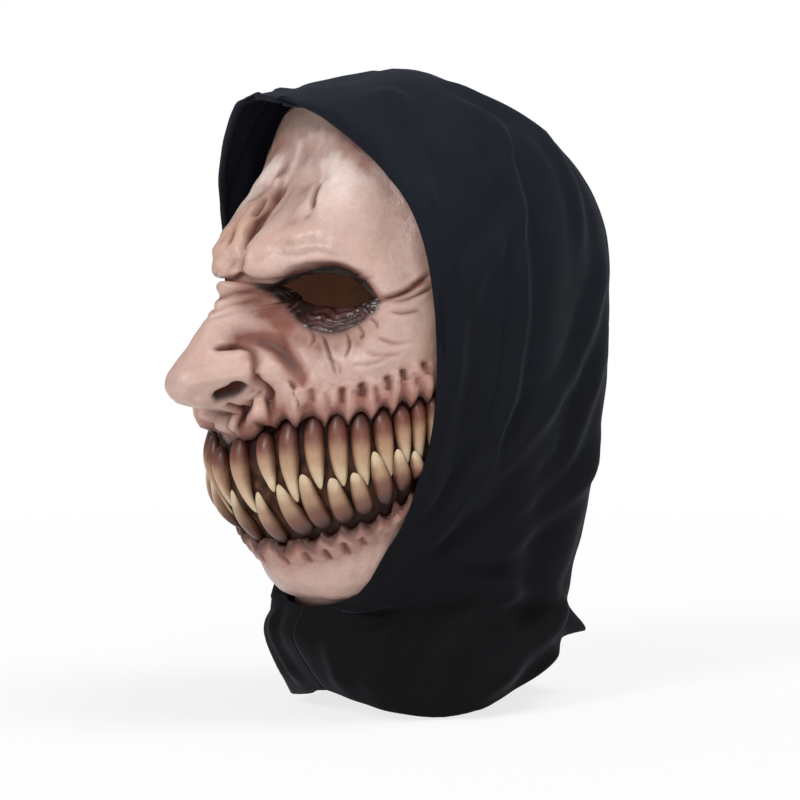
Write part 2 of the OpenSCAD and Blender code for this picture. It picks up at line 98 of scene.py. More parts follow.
def curve(table, x, col=1):
    """Smooth curve through a table whose first column is the place along it, in rising order."""
    rows, x = np.array(table, float), np.asarray(x, float)
    last = len(rows) - 1
    k = clamp(np.searchsorted(rows[:, 0], x, side="right") - 1, 0, last - 1)
    s = clamp((x - rows[k, 0]) / (rows[k + 1, 0] - rows[k, 0]), 0, 1)
    a, b = rows[np.maximum(k - 1, 0), col], rows[k, col]
    c, d = rows[k + 1, col], rows[np.minimum(k + 2, last), col]
    return b + s * (c - a + s * (2 * a - 5 * b + 4 * c - d + s * (3 * b - a - 3 * c + d))) / 2


def steps(keys, counts):
    """Places from key to key, with a count of steps for each span."""
    spans = [lerp(keys[k], keys[k + 1], i / n) for k, n in enumerate(counts) for i in range(n)]
    return np.array(spans + [keys[-1]])


def ripple(points, size, seed):
    """Soft lumps in space about one size across, from -1 to 1."""
    turn = np.random.default_rng(seed)
    total = np.zeros(points.shape[:-1])
    for _ in range(9):
        way = unit(turn.normal(size=3)) * turn.uniform(0.7, 1.4) * 2 * np.pi / size
        total += np.sin(points @ way + turn.uniform(0, 2 * np.pi))
    return total / 4.5


# The plain form of the face, and its lips, nose and brow

# Face: place up the chart, height, reach to the front, half width
FACE = [[-172, -150, 27.15, 28], [-150, -148, 51.15, 40], [-141, -141, 59.15, 48], [-120, -120, 72, 59.5],
        [-88, -88, 91, 69.5], [-30, -30, 85, 76], [12, 12, 79, 77], [58, 58, 54.6, 72], [94, 94, 45.6, 59]]
EAR_LINE = 8
# Nose: place up it, share of its reach, spread in degrees
NOSE = [[-55.5, 0, 14.3], [-52, 0.4, 14.3], [-47.5, 0.82, 14.3], [-42.5, 0.97, 14.3], [-38, 1, 14.3],
        [-31, 0.96, 13.3], [-22, 0.78, 11.3], [-8, 0.58, 9.3], [2, 0.46, 8.3], [18, 0.2, 11.3], [38, 0, 14.3]]
NOSE_REACH = 46
# Brow: angle, place up the chart, bulge
BROW = [[0, 7, 6], [8.5, 8.2, 14], [16, 10.2, 14.5], [28, 14.4, 11.6], [37, 13, 8.4], [46, 5.2, 4.4],
        [51.5, -3, 2], [60, -7, 0]]
# Broad forms: height, angle and spread, place up the chart and spread
BULGES = [
    (-11, 29.4, 12, 2.2, 9),  # eye socket
    (-6, 11.2, 5, 2.2, 7),  # inner corner of the eye
    (5, 30.4, 11, -14, 6),  # bag under the eye
    (5, 52, 14, -27, 14),  # cheek bone
    (3, 14.3, 4.5, -44, 6),  # wing of the nose
    (4.5, 12.8, 4.6, -35.5, 7),  # top of the wing
    (4, 22, 12, 48, 15),  # forehead
    (6, 0, 22, -137, 8),  # ball of the chin
]
# Ridges: height, angle and spread, and the places up the chart of their soft ends
RIDGES = [(8, 3.2, 2.3, (-67, -61, -52, -46)), (9.5, 14, 3.2, (-63, -58, -50, -44))]
CHEEK_RIDGES = [(7, 0, 3.4, (-72, -60, -34, -22)), (4, 8, 4.5, (-56, -46, -24, -12))]
# Line of the cheek's fold, then the lower edge of the lids and of the painted shadow under the hood's rim
FOLD = [[-58, 26.4], [-43, 21.2], [-28, 15], [-16, 10]]
LID_EDGE = [[5, 5], [7.6, 1.8], [11.4, -5], [19.4, -11.6], [27.6, -17.8], [33.4, -20], [38.8, -19.6],
            [44.6, -15.6], [49.6, -9.4], [52.2, -4.7]]
RIM_SHADOW_EDGE = [[0, 73], [17, 67.6], [27, 60], [41, 49.4], [53, 35.7], [59, 25], [62, 15.8], [66, 2],
             [72, -12], [78, -30]]
EYE_T, EYE_DEG, EYE_P, EYE_HALF = 29.2, 18.8, 1.3, 7.8
LID_TOP, LID_LOW, LID_TILT, LOW_POWER = 7.9, 6.4, 2.8, 2.8
# Roots of the upper teeth on one side, then those of the lower teeth
UPPER_T = [0, 13.3, 22.9, 31.9, 40.2, 47.9, 54.9, 61.2, 66.9, 71.9]
LOWER_ROOTS = [(9, -119.5), (25.4, -113), (34.6, -109), (44, -105.6), (51.8, -101.6), (59, -97), (65, -92),
               (70, -87)]
LOWER_T = [root_t for root_t, _ in LOWER_ROOTS]
MOUTH_END = 77
SIDE_RUN, SIDE_TAPER = 1.6, 0.0012
LIP_SWELL = 4.5


def base_pt(t, p):
    """Place on the plain form. Past 90 degrees the sides run straight back, inside the hood."""
    t, p = np.broadcast_arrays(np.asarray(t, float), np.asarray(p, float))
    reach, side = curve(FACE, p, 2) - EAR_LINE, clamp(t, -90, 90)
    back = SIDE_RUN * np.maximum(abs(t) - 90, 0)
    x = curve(FACE, p, 3) * sin_deg(side) * (1 - SIDE_TAPER * back)
    return np.stack([x, back - EAR_LINE - reach * cos_deg(side), curve(FACE, p, 1)], -1)


def out_dir(t, p):
    """Level direction straight out of the plain form."""
    t, p = np.broadcast_arrays(np.asarray(t, float), np.asarray(p, float))
    t = clamp(t, -90, 90)
    reach = curve(FACE, p, 2) - EAR_LINE
    return unit(np.stack([sin_deg(t) / curve(FACE, p, 3), -cos_deg(t) / reach, 0 * p], -1))


def upper_lip(t):
    return -57 - 11 * bell(t, 12) + 11 * ease(40, 81, abs(t))


def lower_lip(t):
    return -120 + 14 * ease(10, 62, abs(t)) + 22 * ease(48, 85, abs(t))


def brow_form(a, p):
    """Share of the brow's bulge: a tight underside over the lid, and a slope back onto the forehead."""
    d = p - curve(BROW, a, 1)
    return span(d, -1.5, 5.5, 19, 44)


def face_form(t, p):
    """Point of the face before its wrinkles."""
    a = np.abs(t)
    brow, fold = brow_form(a, p), a - curve(FOLD, p)
    form = curve(BROW, a, 2) * brow
    for height, at, wide, up, tall in BULGES:
        form = form + height * bell(a - at, wide) * bell(p - up, tall)
    for place, ridges in ((fold, CHEEK_RIDGES), (a, RIDGES)):
        for height, at, wide, ends in ridges:
            form = form + height * bell(place - at, wide) * span(p, *ends)
    lips = bell(p - upper_lip(t) - 5, 5) + 0.8 * bell(p - lower_lip(t) + 4, 4)
    form = (1 - ease(68, 80, a)) * form + LIP_SWELL * (1 - ease(74, 88, a)) * lips
    up = p - 8 * ease(4, 14.3, a) * (1 - ease(-44, -34, p))
    nose = NOSE_REACH * curve(NOSE, up, 1) * np.exp(-(a / curve(NOSE, up, 2)) ** 3)
    nose = np.where((up < NOSE[0][0]) | (up > NOSE[-1][0]), 0, nose)
    hang = 3 * brow * span(a, 5, 12, 36, 50)
    ahead = np.stack([0 * nose, -nose, -0.1 * nose - hang], -1)
    return base_pt(t, p) + form[..., None] * out_dir(t, p) + ahead


def eye_ring(t, p):
    """Bends the grid lines round an eye into lid-shaped rings. The last value is 1 on the lid's edge."""
    a = np.abs(t)
    qx, qy = (a - EYE_T) / EYE_DEG, (p - EYE_P) / EYE_HALF
    ring, far = np.maximum(abs(qx), abs(qy)), np.maximum(np.hypot(qx, qy), 1e-3)
    x = qx / far
    top = LID_TOP * (1 - abs(x) ** 3) * (1 + 0.1 * x)
    low = LID_LOW * (1 - abs(x) ** LOW_POWER) * (1 + 0.05 * x)
    lid = -LID_TILT * x + np.where(qy > 0, top, -low)
    pull = 1 - ease(1, 1.65, ring)
    a = a + pull * (EYE_T + EYE_DEG * ring * x - a)
    return np.where(t < 0, -a, a), p + pull * (EYE_P + ring * lid - p), ring


# Marks worked into the skin. Each is drawn along a line of chart places.

def skin_line(path, side, gap=0.5):
    """Points on the unmarked skin along a smooth line through a few chart places, evenly spaced."""
    path = np.array(path, float) * [side, 1]
    knots = np.column_stack([np.arange(len(path)), path])
    at = np.linspace(0, len(path) - 1, 30 * len(path))
    line = face_form(curve(knots, at, 1), curve(knots, at, 2))
    run = np.concatenate([[0], np.cumsum(np.linalg.norm(np.diff(line, axis=0), axis=1))])
    even = np.linspace(0, run[-1], max(int(run[-1] / gap), 4))
    return np.column_stack([np.interp(even, run, line[:, k]) for k in range(3)])


def distance_to(points, line, limit):
    """Distance of each point from a line of points, and how far along the line the nearest place is."""
    gap, share = np.full(len(points), 1e9), np.zeros(len(points))
    near = np.where(((points > line.min(0) - limit) & (points < line.max(0) + limit)).all(1))[0]
    for part in np.array_split(near, len(near) // 4000 + 1):
        if len(part):
            square = ((points[part, None, :] - line[None]) ** 2).sum(2)
            k = square.argmin(1)
            gap[part] = np.sqrt(square[np.arange(len(part)), k])
            share[part] = k / max(len(line) - 1, 1)
    return gap, share


# Raised sides of a crease and of a fold: height, distance out and spread, as shares of the mark
MARK_SIDES = {"crease": (0.42, 2.3, 1.2), "fold": (0.12, 2.2, 1.1)}


def profile(kind, gap, width):
    """Section of a mark: a crease or fold has raised sides, a pit is plain and steep, a bump is round."""
    x = gap / width
    if kind in MARK_SIDES:
        height, out, spread = MARK_SIDES[kind]
        return height * np.exp(-((x - out) / spread) ** 2) - np.exp(-x ** 2)
    return -np.exp(-(x ** 2.6)) if kind == "pit" else np.exp(-x ** 2)


# Each mark: kind, amount, width, sides, chart places
BOTH, LEFT, RIGHT = (1, -1), (1,), (-1,)
SKIN_FORMS = [
    ("bump", 1.8, 4.0, BOTH, [(30, -44), (33, -50), (33.5, -57)]),
    ("bump", 2.4, 6.0, BOTH, [(8.4, 22), (9, 17), (11, 13.6), (14, 12.6)]),
    ("bump", -1.6, 8.0, BOTH, [(17, 37), (25, 38.5), (34, 37), (42, 32)]),
    ("bump", 2.2, 9.0, BOTH, [(20, 60), (28, 57)]),
    ("bump", 1.6, 7.0, LEFT, [(2, 58), (1.6, 48), (3.4, 38), (7, 28)]),
    ("bump", -2.2, 10.0, BOTH, [(52, 22), (55, 36)]),
    ("bump", 2.6, 4.4, RIGHT, [(10, 54), (9.4, 45), (8, 37), (5.6, 29), (3, 23)]),
    ("bump", 2.2, 3.6, RIGHT, [(17, 44), (15.4, 37), (12.8, 30), (10, 23)]),
    ("bump", 2.0, 3.4, BOTH, [(-9, 6.6), (-4, 4.2), (3, 4.6), (8, 7)]),
    ("bump", 1.5, 9.0, BOTH, [(38, -30), (44, -35)]),
    ("bump", 0.9, 4.5, LEFT, [(12.6, 54), (13, 49), (15, 41)]),
    ("bump", 1.1, 5.0, LEFT, [(21.8, 54), (22, 48), (23.6, 41)]),
    ("bump", -1.6, 3.4, LEFT, [(15, 57), (16.8, 48.2), (19.4, 40)]),
    ("bump", -1.0, 5.0, BOTH, [(34, 62), (42, 57), (48, 49)]),
    ("bump", -2.0, 6.0, BOTH, [(26, -24), (34, -27), (43, -25)]),
]
SKIN_CREASES = [
    ("fold", 2.8, 3.6, BOTH, [(7, -21.8), (10.6, -20.4), (14.8, -23.4), (20.2, -28.5), (24.4, -35.4),
                              (27.6, -41.4), (29.2, -47)]),
    ("fold", 2.8, 1.8, BOTH, [(7, -24.2), (10, -23.2), (11.8, -24.4), (13.8, -26.8), (16, -31.4), (17, -37),
                              (17, -42.8), (17.6, -49), (18.6, -56), (19, -61)]),
    ("crease", 1.6, 0.9, BOTH, [(6.6, -24), (8, -23.6), (10, -23.2), (11.8, -24.4), (13.8, -26.8),
                                (15, -29.4)]),
    ("crease", 1.3, 1.2, BOTH, [(17, -38), (17, -42.8), (17.6, -49), (18.6, -56), (19, -61)]),
    ("crease", 1.6, 0.9, BOTH, [(23, -40), (25.4, -45), (27.4, -50.5), (28.2, -55)]),
    ("crease", 3.2, 1.5, BOTH, [(8.4, -48), (6.6, -53), (6, -58), (5.8, -66)]),
    ("crease", 1.8, 1.1, LEFT, [(0, -52), (0, -58), (0, -67)]),
    ("fold", 4.0, 2.4, LEFT, [(-5.4, 62), (-6.4, 56), (-6.2, 46.4), (-4.4, 36.6), (-1.4, 28), (2, 22),
                              (5, 16), (5.6, 10), (5, 3)]),
    ("crease", 1.3, 0.9, LEFT, [(-6, 44), (-4.4, 36.6), (-1.4, 28), (2, 22), (4.4, 16)]),
    ("crease", 3.0, 1.5, RIGHT, [(13, 49), (12, 42), (10, 35), (7, 28), (5.4, 21)]),
    ("crease", 2.8, 1.6, RIGHT, [(19, 45), (17.6, 38), (15.4, 31), (13, 24), (11.4, 18)]),
    ("crease", 2.2, 1.3, RIGHT, [(9.6, 46), (7.6, 41), (6.2, 35)]),
    ("crease", 2.4, 1.3, LEFT, [(-9, 11.6), (-3.4, 8.6), (2, 9), (7.4, 10.6)]),
    ("crease", 0.9, 1.2, LEFT, [(-7.4, 2), (-2, 0.4), (3, 1), (7.4, 3)]),
    ("crease", 0.7, 1.0, BOTH, [(-2.4, -7.4), (1.9, -4.8), (5.2, -2.8), (8, -1.4)]),
    ("crease", 0.5, 0.9, BOTH, [(0, -10), (3.7, -9), (6.6, -8.2)]),
    ("crease", 2.6, 1.2, BOTH, [(50, -3.4), (55.6, -1.5), (59.8, 0.6), (64.4, 4.8), (70, 11)]),
    ("crease", 1.6, 1.0, BOTH, [(54, -4.8), (60, -3), (65, 0), (71, 3.6)]),
    ("crease", 0.9, 1.0, BOTH, [(54, -9), (60, -9.6), (67, -7.6)]),
    ("crease", 0.4, 1.8, BOTH, [(11, 30), (18, 27), (27, 28.6), (38, 24)]),
    ("crease", 0.35, 1.6, BOTH, [(13, 24), (20, 21.6), (29, 23), (39, 19)]),
    ("crease", 3.4, 1.5, LEFT, [(15.6, 54.6), (16, 52), (17, 48.2), (18.4, 44.6), (19.6, 42)]),
    ("crease", 1.6, 1.3, BOTH, [(56, -104.4), (60, -103.2), (63.4, -100), (66, -96)]),
]
LID_CREASES = [
    ("crease", 1.4, 1.0, BOTH, [(12.6, 7.6), (20.4, 11), (29, 12.4), (37, 10.6), (43.4, 6.6), (48, 1.4),
                                (50, -2.6)]),
    ("crease", 1.4, 0.8, BOTH, [(31.4, -19.6), (33.4, -25.7), (34.8, -29.2), (36.6, -34), (38.4, -40)]),
    ("crease", 1.1, 0.7, BOTH, [(40.2, -18.6), (41.6, -25), (40, -31)]),
    ("crease", 0.9, 0.7, BOTH, [(26.4, -17), (28.6, -21.6), (27.8, -25.6)]),
    ("crease", 1.0, 0.7, BOTH, [(44.2, -15.4), (46, -19.4), (45, -23)]),
    ("crease", 0.9, 0.7, BOTH, [(47.6, -11.6), (50.6, -15), (51, -19)]),
    ("crease", 0.8, 0.7, BOTH, [(35.4, -30), (38.6, -34), (39.8, -39)]),
    ("crease", 0.7, 0.9, BOTH, [(50, -21), (57, -24), (64, -22.6)]),
    ("crease", 0.6, 0.9, BOTH, [(42, -33.6), (49, -33), (56, -29.6)]),
    ("crease", 0.6, 0.9, BOTH, [(46, -27), (53, -29), (61, -28)]),
]
# Pits above the upper lip and below the lower one: chart place and depth
LIP_PITS = [(31.8, -48, 1.7), (36.6, -51, 1.2), (41.6, -48.8, 2.3), (48, -45.4, 2.5), (52.4, -47.6, 1.4),
            (56.6, -43.4, 2.6), (61.2, -38.4, 2.4), (64.8, -41.4, 1.4), (68.4, -36, 2.2)]
CHIN_PITS = [(8.6, -127, 1.5), (20.6, -125.4, 1.9), (30.6, -124, 2.1), (39.6, -121.6, 2.1),
             (47.6, -117.6, 1.5)]
NOSTRIL = [(9, -45.8), (10.6, -44.2), (12.4, -42.4)]
NOSTRIL_MOUTH = [(8.6, -46.4), (10.4, -45), (12.6, -42.8)]
NOSTRIL_RIM = [(6.6, -46.6), (8.2, -49.2), (11.2, -48), (14.2, -44.4)]


def grid_normals(points):
    return unit(np.cross(np.gradient(points, axis=0), np.gradient(points, axis=1)))


def raised(points, height):
    """A grid of points, each moved out of its surface by its own height."""
    return points + height[..., None] * grid_normals(points)


def skin_marks(points, still, marks):
    """Works a list of marks into a grid of skin points. Distances are measured on the still, unmarked skin.
    Also gives the thin dark line at the bottom of each crease, and the soft shade beside it."""
    push, ink, shade = (np.zeros(len(still)) for _ in range(3))
    for kind, amount, width, sides, path in marks:
        for side in sides:
            line = skin_line(path, side)
            gap, share = distance_to(still, line, 4.5 * width)
            lined = kind in MARK_SIDES
            fade = span(share, 0, 0.22, 0.72, 1) if lined else 1
            push += amount * fade * profile(kind, gap, width)
            if lined:
                deep = min(amount / 2.4, 1) * fade
                fine = np.exp(-(gap / (0.6 * width)) ** 2)
                ink = np.maximum(ink, (1 if kind == "crease" else 0.3) * deep * fine)
                shade = np.maximum(shade, deep * np.exp(-(gap / (1.5 * width + 0.8)) ** 2))
    return raised(points, push.reshape(points.shape[:2])), ink, shade


def stroke(still, path, width):
    """Paint laid softly along a line on both sides of the face, from 0 to 1."""
    paint = np.zeros(len(still))
    for side in BOTH:
        gap, _ = distance_to(still, skin_line(path, side, 1), 3 * width)
        paint = np.maximum(paint, np.exp(-(gap / width) ** 2))
    return paint


# Edges of the mouth: the upper lip hangs in points between teeth, the lower lip has a cup under each

def between(t, spots):
    """0 on a spot and 1 half way between two of them."""
    spots = np.array(sorted(set([-s for s in spots] + list(spots))), float)
    k = clamp(np.searchsorted(spots, t) - 1, 0, len(spots) - 2)
    share = clamp((t - spots[k]) / (spots[k + 1] - spots[k]), 0, 1)
    return 1 - abs(2 * share - 1)


def lip_drop(t):
    """The cast hangs lower on the right of the middle."""
    return 8 * ease(1, 15, -t) * (1 - ease(32, 62, -t))


def closed_past_mouth(edge, t):
    """An edge of the mouth that runs to the middle of the lips past the mouth's corners."""
    return lerp(edge, (upper_lip(t) + lower_lip(t)) / 2, ease(MOUTH_END - 1, MOUTH_END + 2, abs(t)))


def upper_edge(t):
    scallop = (2.4 - 4.2 * between(t, UPPER_T) ** 1.5) * span(abs(t), 4, 16, 70, 76)
    return closed_past_mouth(upper_lip(t) + scallop - lip_drop(t), t)


def lower_edge(t):
    cup = (1.6 - 3.4 * (1 - between(t, LOWER_T) ** 1.4)) * (1 - ease(66, 74, abs(t)))
    return closed_past_mouth(lower_lip(t) + cup, t)


# Meshes and pieces

LEAST_WALL = 0.1


def mesh_of(bm, name):
    """Ends the building of a mesh, with its faces shaded smooth."""
    for f in bm.faces:
        f.smooth = True
    mesh = bpy.data.meshes.new(name)
    bm.to_mesh(mesh)
    bm.free()
    return mesh


def values_of(mesh, label):
    """A paint's value at each point of a mesh."""
    values = np.zeros(len(mesh.vertices), np.float32)
    mesh.attributes[label].data.foreach_get("value", values)
    return values


def linked(name, data):
    """An object in the scene."""
    obj = bpy.data.objects.new(name, data)
    bpy.context.scene.collection.objects.link(obj)
    return obj


def grid_mesh(name, points, kept=None, paints=None):
    """A mesh from a grid of points whose rows run down and columns to the wearer's left."""
    rows, cols = points.shape[:2]
    bm = bmesh.new()
    bmesh.ops.create_grid(bm, x_segments=cols - 1, y_segments=rows - 1, size=0.5)
    bm.verts.ensure_lookup_table()
    flat = np.array([v.co for v in bm.verts])
    col = np.rint((flat[:, 0] + 0.5) * (cols - 1)).astype(int)
    row = np.rint((0.5 - flat[:, 1]) * (rows - 1)).astype(int)
    for v, place in zip(bm.verts, (points[row, col] * MM).tolist()):
        v.co = place
    if kept is not None:
        spare = []
        for f in bm.faces:
            corners = [v.index for v in f.verts]
            if not kept[row[corners].min(), col[corners].min()]:
                spare.append(f)
        bmesh.ops.delete(bm, geom=spare, context="FACES_ONLY")
        loose = [v for v in bm.verts if not v.link_faces]
        used = np.array([bool(v.link_faces) for v in bm.verts])
        row, col = row[used], col[used]
        bmesh.ops.delete(bm, geom=loose, context="VERTS")
    mesh = mesh_of(bm, name)
    for label, values in (paints or {}).items():
        layer = mesh.attributes.new(label, "FLOAT_COLOR" if values.ndim == 3 else "FLOAT", "POINT")
        data = values[row, col]
        if values.ndim == 3:
            data = np.column_stack([data, np.ones(len(data))])
        layer.data.foreach_set("color" if values.ndim == 3 else "value", data.astype(np.float32).ravel())
    return mesh


def piece(name, mesh, materials, nodes, wall=0, inner=0):
    """A part of the mask, with a wall laid inward where one is given. A "wall" paint thins it."""
    obj = linked(name, mesh)
    for m in materials:
        mesh.materials.append(m)
    if wall:
        thick = obj.modifiers.new("wall", "SOLIDIFY")
        if "wall" in mesh.attributes:
            group = obj.vertex_groups.new(name="wall")
            for k, value in enumerate(values_of(mesh, "wall").tolist()):
                group.add([k], value, "REPLACE")
            thick.vertex_group = "wall"
            thick.thickness_vertex_group = LEAST_WALL
        thick.thickness = wall * MM
        thick.offset = -1
        thick.use_even_offset = False
        thick.material_offset = inner
    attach(obj, "root")
    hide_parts(*nodes)
    return obj


# Materials

class Finish:
    """A material whose nodes are added and joined by name."""

    def __init__(self, name):
        self.material = bpy.data.materials.new(name)
        self.material.use_nodes = True
        self.tree = self.material.node_tree
        self.shader = self.tree.nodes["Principled BSDF"]

    def add(self, kind, inputs=None, **settings):
        node = self.tree.nodes.new(kind)
        for key, value in settings.items():
            setattr(node, key, value)
        for key, value in (inputs or {}).items():
            self.put(node.inputs[key], value)
        return node

    def put(self, socket, value):
        if isinstance(value, bpy.types.NodeSocket):
            self.tree.links.new(value, socket)
        else:
            socket.default_value = value

    def set(self, **values):
        for key, value in values.items():
            self.put(self.shader.inputs[key.replace("_", " ")], value)

    def coords(self):
        return self.add("ShaderNodeTexCoord").outputs["Object"]

    def paint(self, label):
        return self.add("ShaderNodeAttribute", attribute_name=label)

    def noise(self, at, scale, detail=3, rough=0.55):
        return self.add("ShaderNodeTexNoise", {"Vector": at, "Scale": scale, "Detail": detail,
                                               "Roughness": rough}).outputs["Fac"]

    def spread(self, value, low, high, a, b):
        return self.add("ShaderNodeMapRange", {"Value": value, "From Min": low, "From Max": high,
                                               "To Min": a, "To Max": b}).outputs["Result"]

    def mix(self, share, a, b, blend="MIX"):
        node = self.add("ShaderNodeMix", data_type="RGBA", blend_type=blend)
        for k, value in ((0, share), (6, a), (7, b)):
            self.put(node.inputs[k], value)
        return node.outputs[2]

    def sum(self, a, b, how="ADD"):
        return self.add("ShaderNodeMath", {0: a, 1: b}, operation=how).outputs[0]

    def times(self, a, b):
        return self.sum(a, b, "MULTIPLY")

    def patches(self, at, scale, detail, low=0.3, high=0.7, rough=0.55):
        """Noise drawn out to run from 0 to 1."""
        return self.spread(self.noise(at, scale, detail, rough), low, high, 0.0, 1.0)

    def stain(self, tone, patch, amount, colour):
        """A tone that is multiplied by a colour in patches."""
        return self.mix(self.times(patch, amount), tone, self.mix(1.0, tone, (*colour, 1), "MULTIPLY"))

    def bands(self, at, scale, way, **inputs):
        return self.add("ShaderNodeTexWave", {"Vector": at, "Scale": scale, **inputs},
                        wave_type="BANDS", bands_direction=way).outputs["Fac"]

    def bump(self, height, strength, depth):
        node = self.add("ShaderNodeBump", {"Height": height, "Strength": strength, "Distance": depth})
        self.set(Normal=node.outputs["Normal"])


def painted_latex():
    """Skin: hand-painted latex, satin where pale and glossy on the lids, with brush mottling and pores."""
    f = Finish("painted_latex_skin")
    at = f.coords()
    paint, dull = f.paint("paint").outputs["Color"], f.paint("dull").outputs["Fac"]
    blotch = f.patches(at, 60, 4)
    fleck = f.patches(at, 380, 4, 0.42, 0.7, 0.65)
    vein = f.patches(at, 150, 5, 0.5, 0.68, 0.7)
    tone = f.stain(paint, blotch, 0.5, (0.9, 0.8, 0.78))
    tone = f.stain(tone, vein, 0.3, (0.88, 0.74, 0.7))
    f.set(Base_Color=f.stain(tone, fleck, 0.35, (0.86, 0.74, 0.68)))
    f.set(Roughness=f.sum(dull, f.spread(f.noise(at, 160, 3), 0.3, 0.7, -0.06, 0.08)))
    f.set(Subsurface_Weight=0.1, Subsurface_Radius=(1.0, 0.4, 0.25), Subsurface_Scale=0.003,
          Specular_IOR_Level=0.5)
    pores = f.add("ShaderNodeTexVoronoi", {"Vector": at, "Scale": 560.0}).outputs["Distance"]
    grain = f.sum(f.times(f.noise(at, 900, 4), 0.5), f.times(pores, 0.4))
    grain = f.sum(grain, f.times(f.noise(at, 190, 4, 0.6), 1.1))
    f.bump(grain, 0.4, 0.0007)
    return f.material


def raw_latex():
    """Inside of the casting: unpainted warm brown latex. It glows faintly: painted light that brightens the
    inside where it shows through the eyes.
    """
    f = Finish("raw_latex_inside_glowing")
    at = f.coords()
    pour = f.patches(at, 45, 5)
    tone = f.mix(pour, (0.38, 0.16, 0.09, 1), (0.52, 0.25, 0.15, 1))
    # The faint glow is painted light, not a lamp
    f.set(Base_Color=tone, Emission_Color=tone, Emission_Strength=0.055)
    f.set(Roughness=f.spread(pour, 0, 1, 0.55, 0.7))
    f.bump(f.noise(at, 180, 5), 0.3, 0.0008)
    return f.material


def nostril_painted_shade():
    """Matte dark brown inside the nostrils: painted shade for the depth of the hole."""
    f = Finish("nostril_painted_shade")
    at = f.coords()
    f.set(Base_Color=f.mix(f.noise(at, 300, 4), (0.045, 0.015, 0.009, 1), (0.08, 0.027, 0.016, 1)))
    f.set(Roughness=f.spread(f.noise(at, 200, 3), 0.3, 0.7, 0.7, 0.9), Specular_IOR_Level=0.06)
    f.bump(f.noise(at, 500, 3), 0.3, 0.0004)
    return f.material


def tooth_paint():
    """Teeth: painted latex under gloss, with faint lengthwise brush lines and stains."""
    f = Finish("tooth_paint")
    at = f.coords()
    paint = f.paint("paint").outputs["Color"]
    squeeze = f.add("ShaderNodeMapping", {"Vector": at, "Scale": (1.0, 1.0, 0.16)}).outputs["Vector"]
    tone = f.stain(paint, f.patches(squeeze, 900, 3, 0.35, 0.7), 0.3, (0.74, 0.62, 0.5))
    tone = f.stain(tone, f.patches(at, 240, 4, 0.45, 0.75), 0.3, (0.66, 0.5, 0.38))
    f.set(Base_Color=tone, Roughness=f.spread(f.noise(at, 300, 3), 0.3, 0.7, 0.32, 0.5))
    f.set(Coat_Weight=0.12, Coat_Roughness=0.25, Specular_IOR_Level=0.42)
    f.bump(f.sum(f.noise(squeeze, 1100, 3), f.noise(at, 380, 3)), 0.22, 0.0005)
    return f.material


def gum_paint():
    """Gum: dark glossy paint, dry-brushed tan in scattered patches."""
    f = Finish("gum_paint")
    at = f.coords()
    paint = f.paint("paint").outputs["Color"]
    brush = f.patches(at, 330, 5, 0.52, 0.72, 0.65)
    f.set(Base_Color=f.stain(paint, brush, 0.5, (3.2, 2.6, 2.2)))
    f.set(Roughness=f.spread(brush, 0, 1, 0.4, 0.6), Specular_IOR_Level=0.14)
    f.bump(f.noise(at, 420, 5, 0.6), 0.6, 0.001)
    return f.material


def hood_knit():
    """Hood: fine black knit, with rows of loops on the panel's own map and a soft sheen. Painted light makes
    it lighter and bluer toward the top and darker low down.
    """
    f = Finish("hood_knit")
    cloth = f.paint("cloth").outputs["Vector"]
    at = f.coords()
    ribs = f.bands(cloth, 0.42, "X", Distortion=0.6, Detail=1.0)
    loops = f.bands(cloth, 0.34, "Y", Distortion=0.6, Detail=1.0)
    knit = f.times(ribs, loops)
    fade = f.patches(at, 22, 4)
    lint = f.patches(at, 700, 2, 0.66, 0.78)
    tone = f.mix(fade, (0.0044, 0.0044, 0.006, 1), (0.0076, 0.0076, 0.0102, 1))
    tone = f.mix(f.times(knit, 0.4), tone, (0.0095, 0.0096, 0.0125, 1))
    tone = f.mix(f.times(lint, 0.2), tone, (0.035, 0.035, 0.04, 1))
    # Painted light: the cloth's colour grows lighter and bluer with height and darker low down, as if lit
    # from above
    high = f.add("ShaderNodeSeparateXYZ", {0: at}).outputs["Z"]
    painted_top_light = f.mix(f.spread(high, -0.16, 0.11, 0.0, 1.0), (0.55, 0.55, 0.5, 1), (1.7, 1.95, 2.25, 1))
    tone = f.mix(1.0, tone, painted_top_light, "MULTIPLY")
    f.set(Base_Color=tone, Roughness=f.spread(fade, 0, 1, 0.72, 0.86), Specular_IOR_Level=0.1)
    f.set(Sheen_Weight=0.06, Sheen_Roughness=0.35, Sheen_Tint=(0.72, 0.82, 1.0, 1))
    f.bump(f.sum(f.times(knit, 0.5), f.noise(at, 60, 3)), 0.3, 0.0006)
    return f.material


def woven_tape():
    """Seam tape: dark weave with a fine crosswise rib."""
    f = Finish("woven_tape")
    at = f.coords()
    weft = f.bands(at, 190.0, "Z", Distortion=0.4)
    f.set(Base_Color=f.mix(weft, (0.02, 0.02, 0.023, 1), (0.055, 0.055, 0.06, 1)))
    f.set(Roughness=f.spread(f.noise(at, 300), 0.3, 0.7, 0.75, 0.9), Sheen_Weight=0.2)
    f.bump(weft, 0.5, 0.0005)
    return f.material


def bond_felt():
    """Glue strips: black felt with a soft nap."""
    f = Finish("bond_felt")
    at = f.coords()
    hair = f.noise(at, 500, 6, 0.7)
    f.set(Base_Color=f.mix(hair, (0.01, 0.01, 0.01, 1), (0.06, 0.06, 0.058, 1)))
    f.set(Roughness=f.spread(hair, 0, 1, 0.85, 0.98), Sheen_Weight=0.3)
    f.bump(hair, 0.7, 0.0008)
    return f.material


SKIN, INSIDE, TOOTH, GUM = painted_latex(), raw_latex(), tooth_paint(), gum_paint()
NOSE_HOLE = nostril_painted_shade()
KNIT, TAPE, FELT = hood_knit(), woven_tape(), bond_felt()


# The painted skin

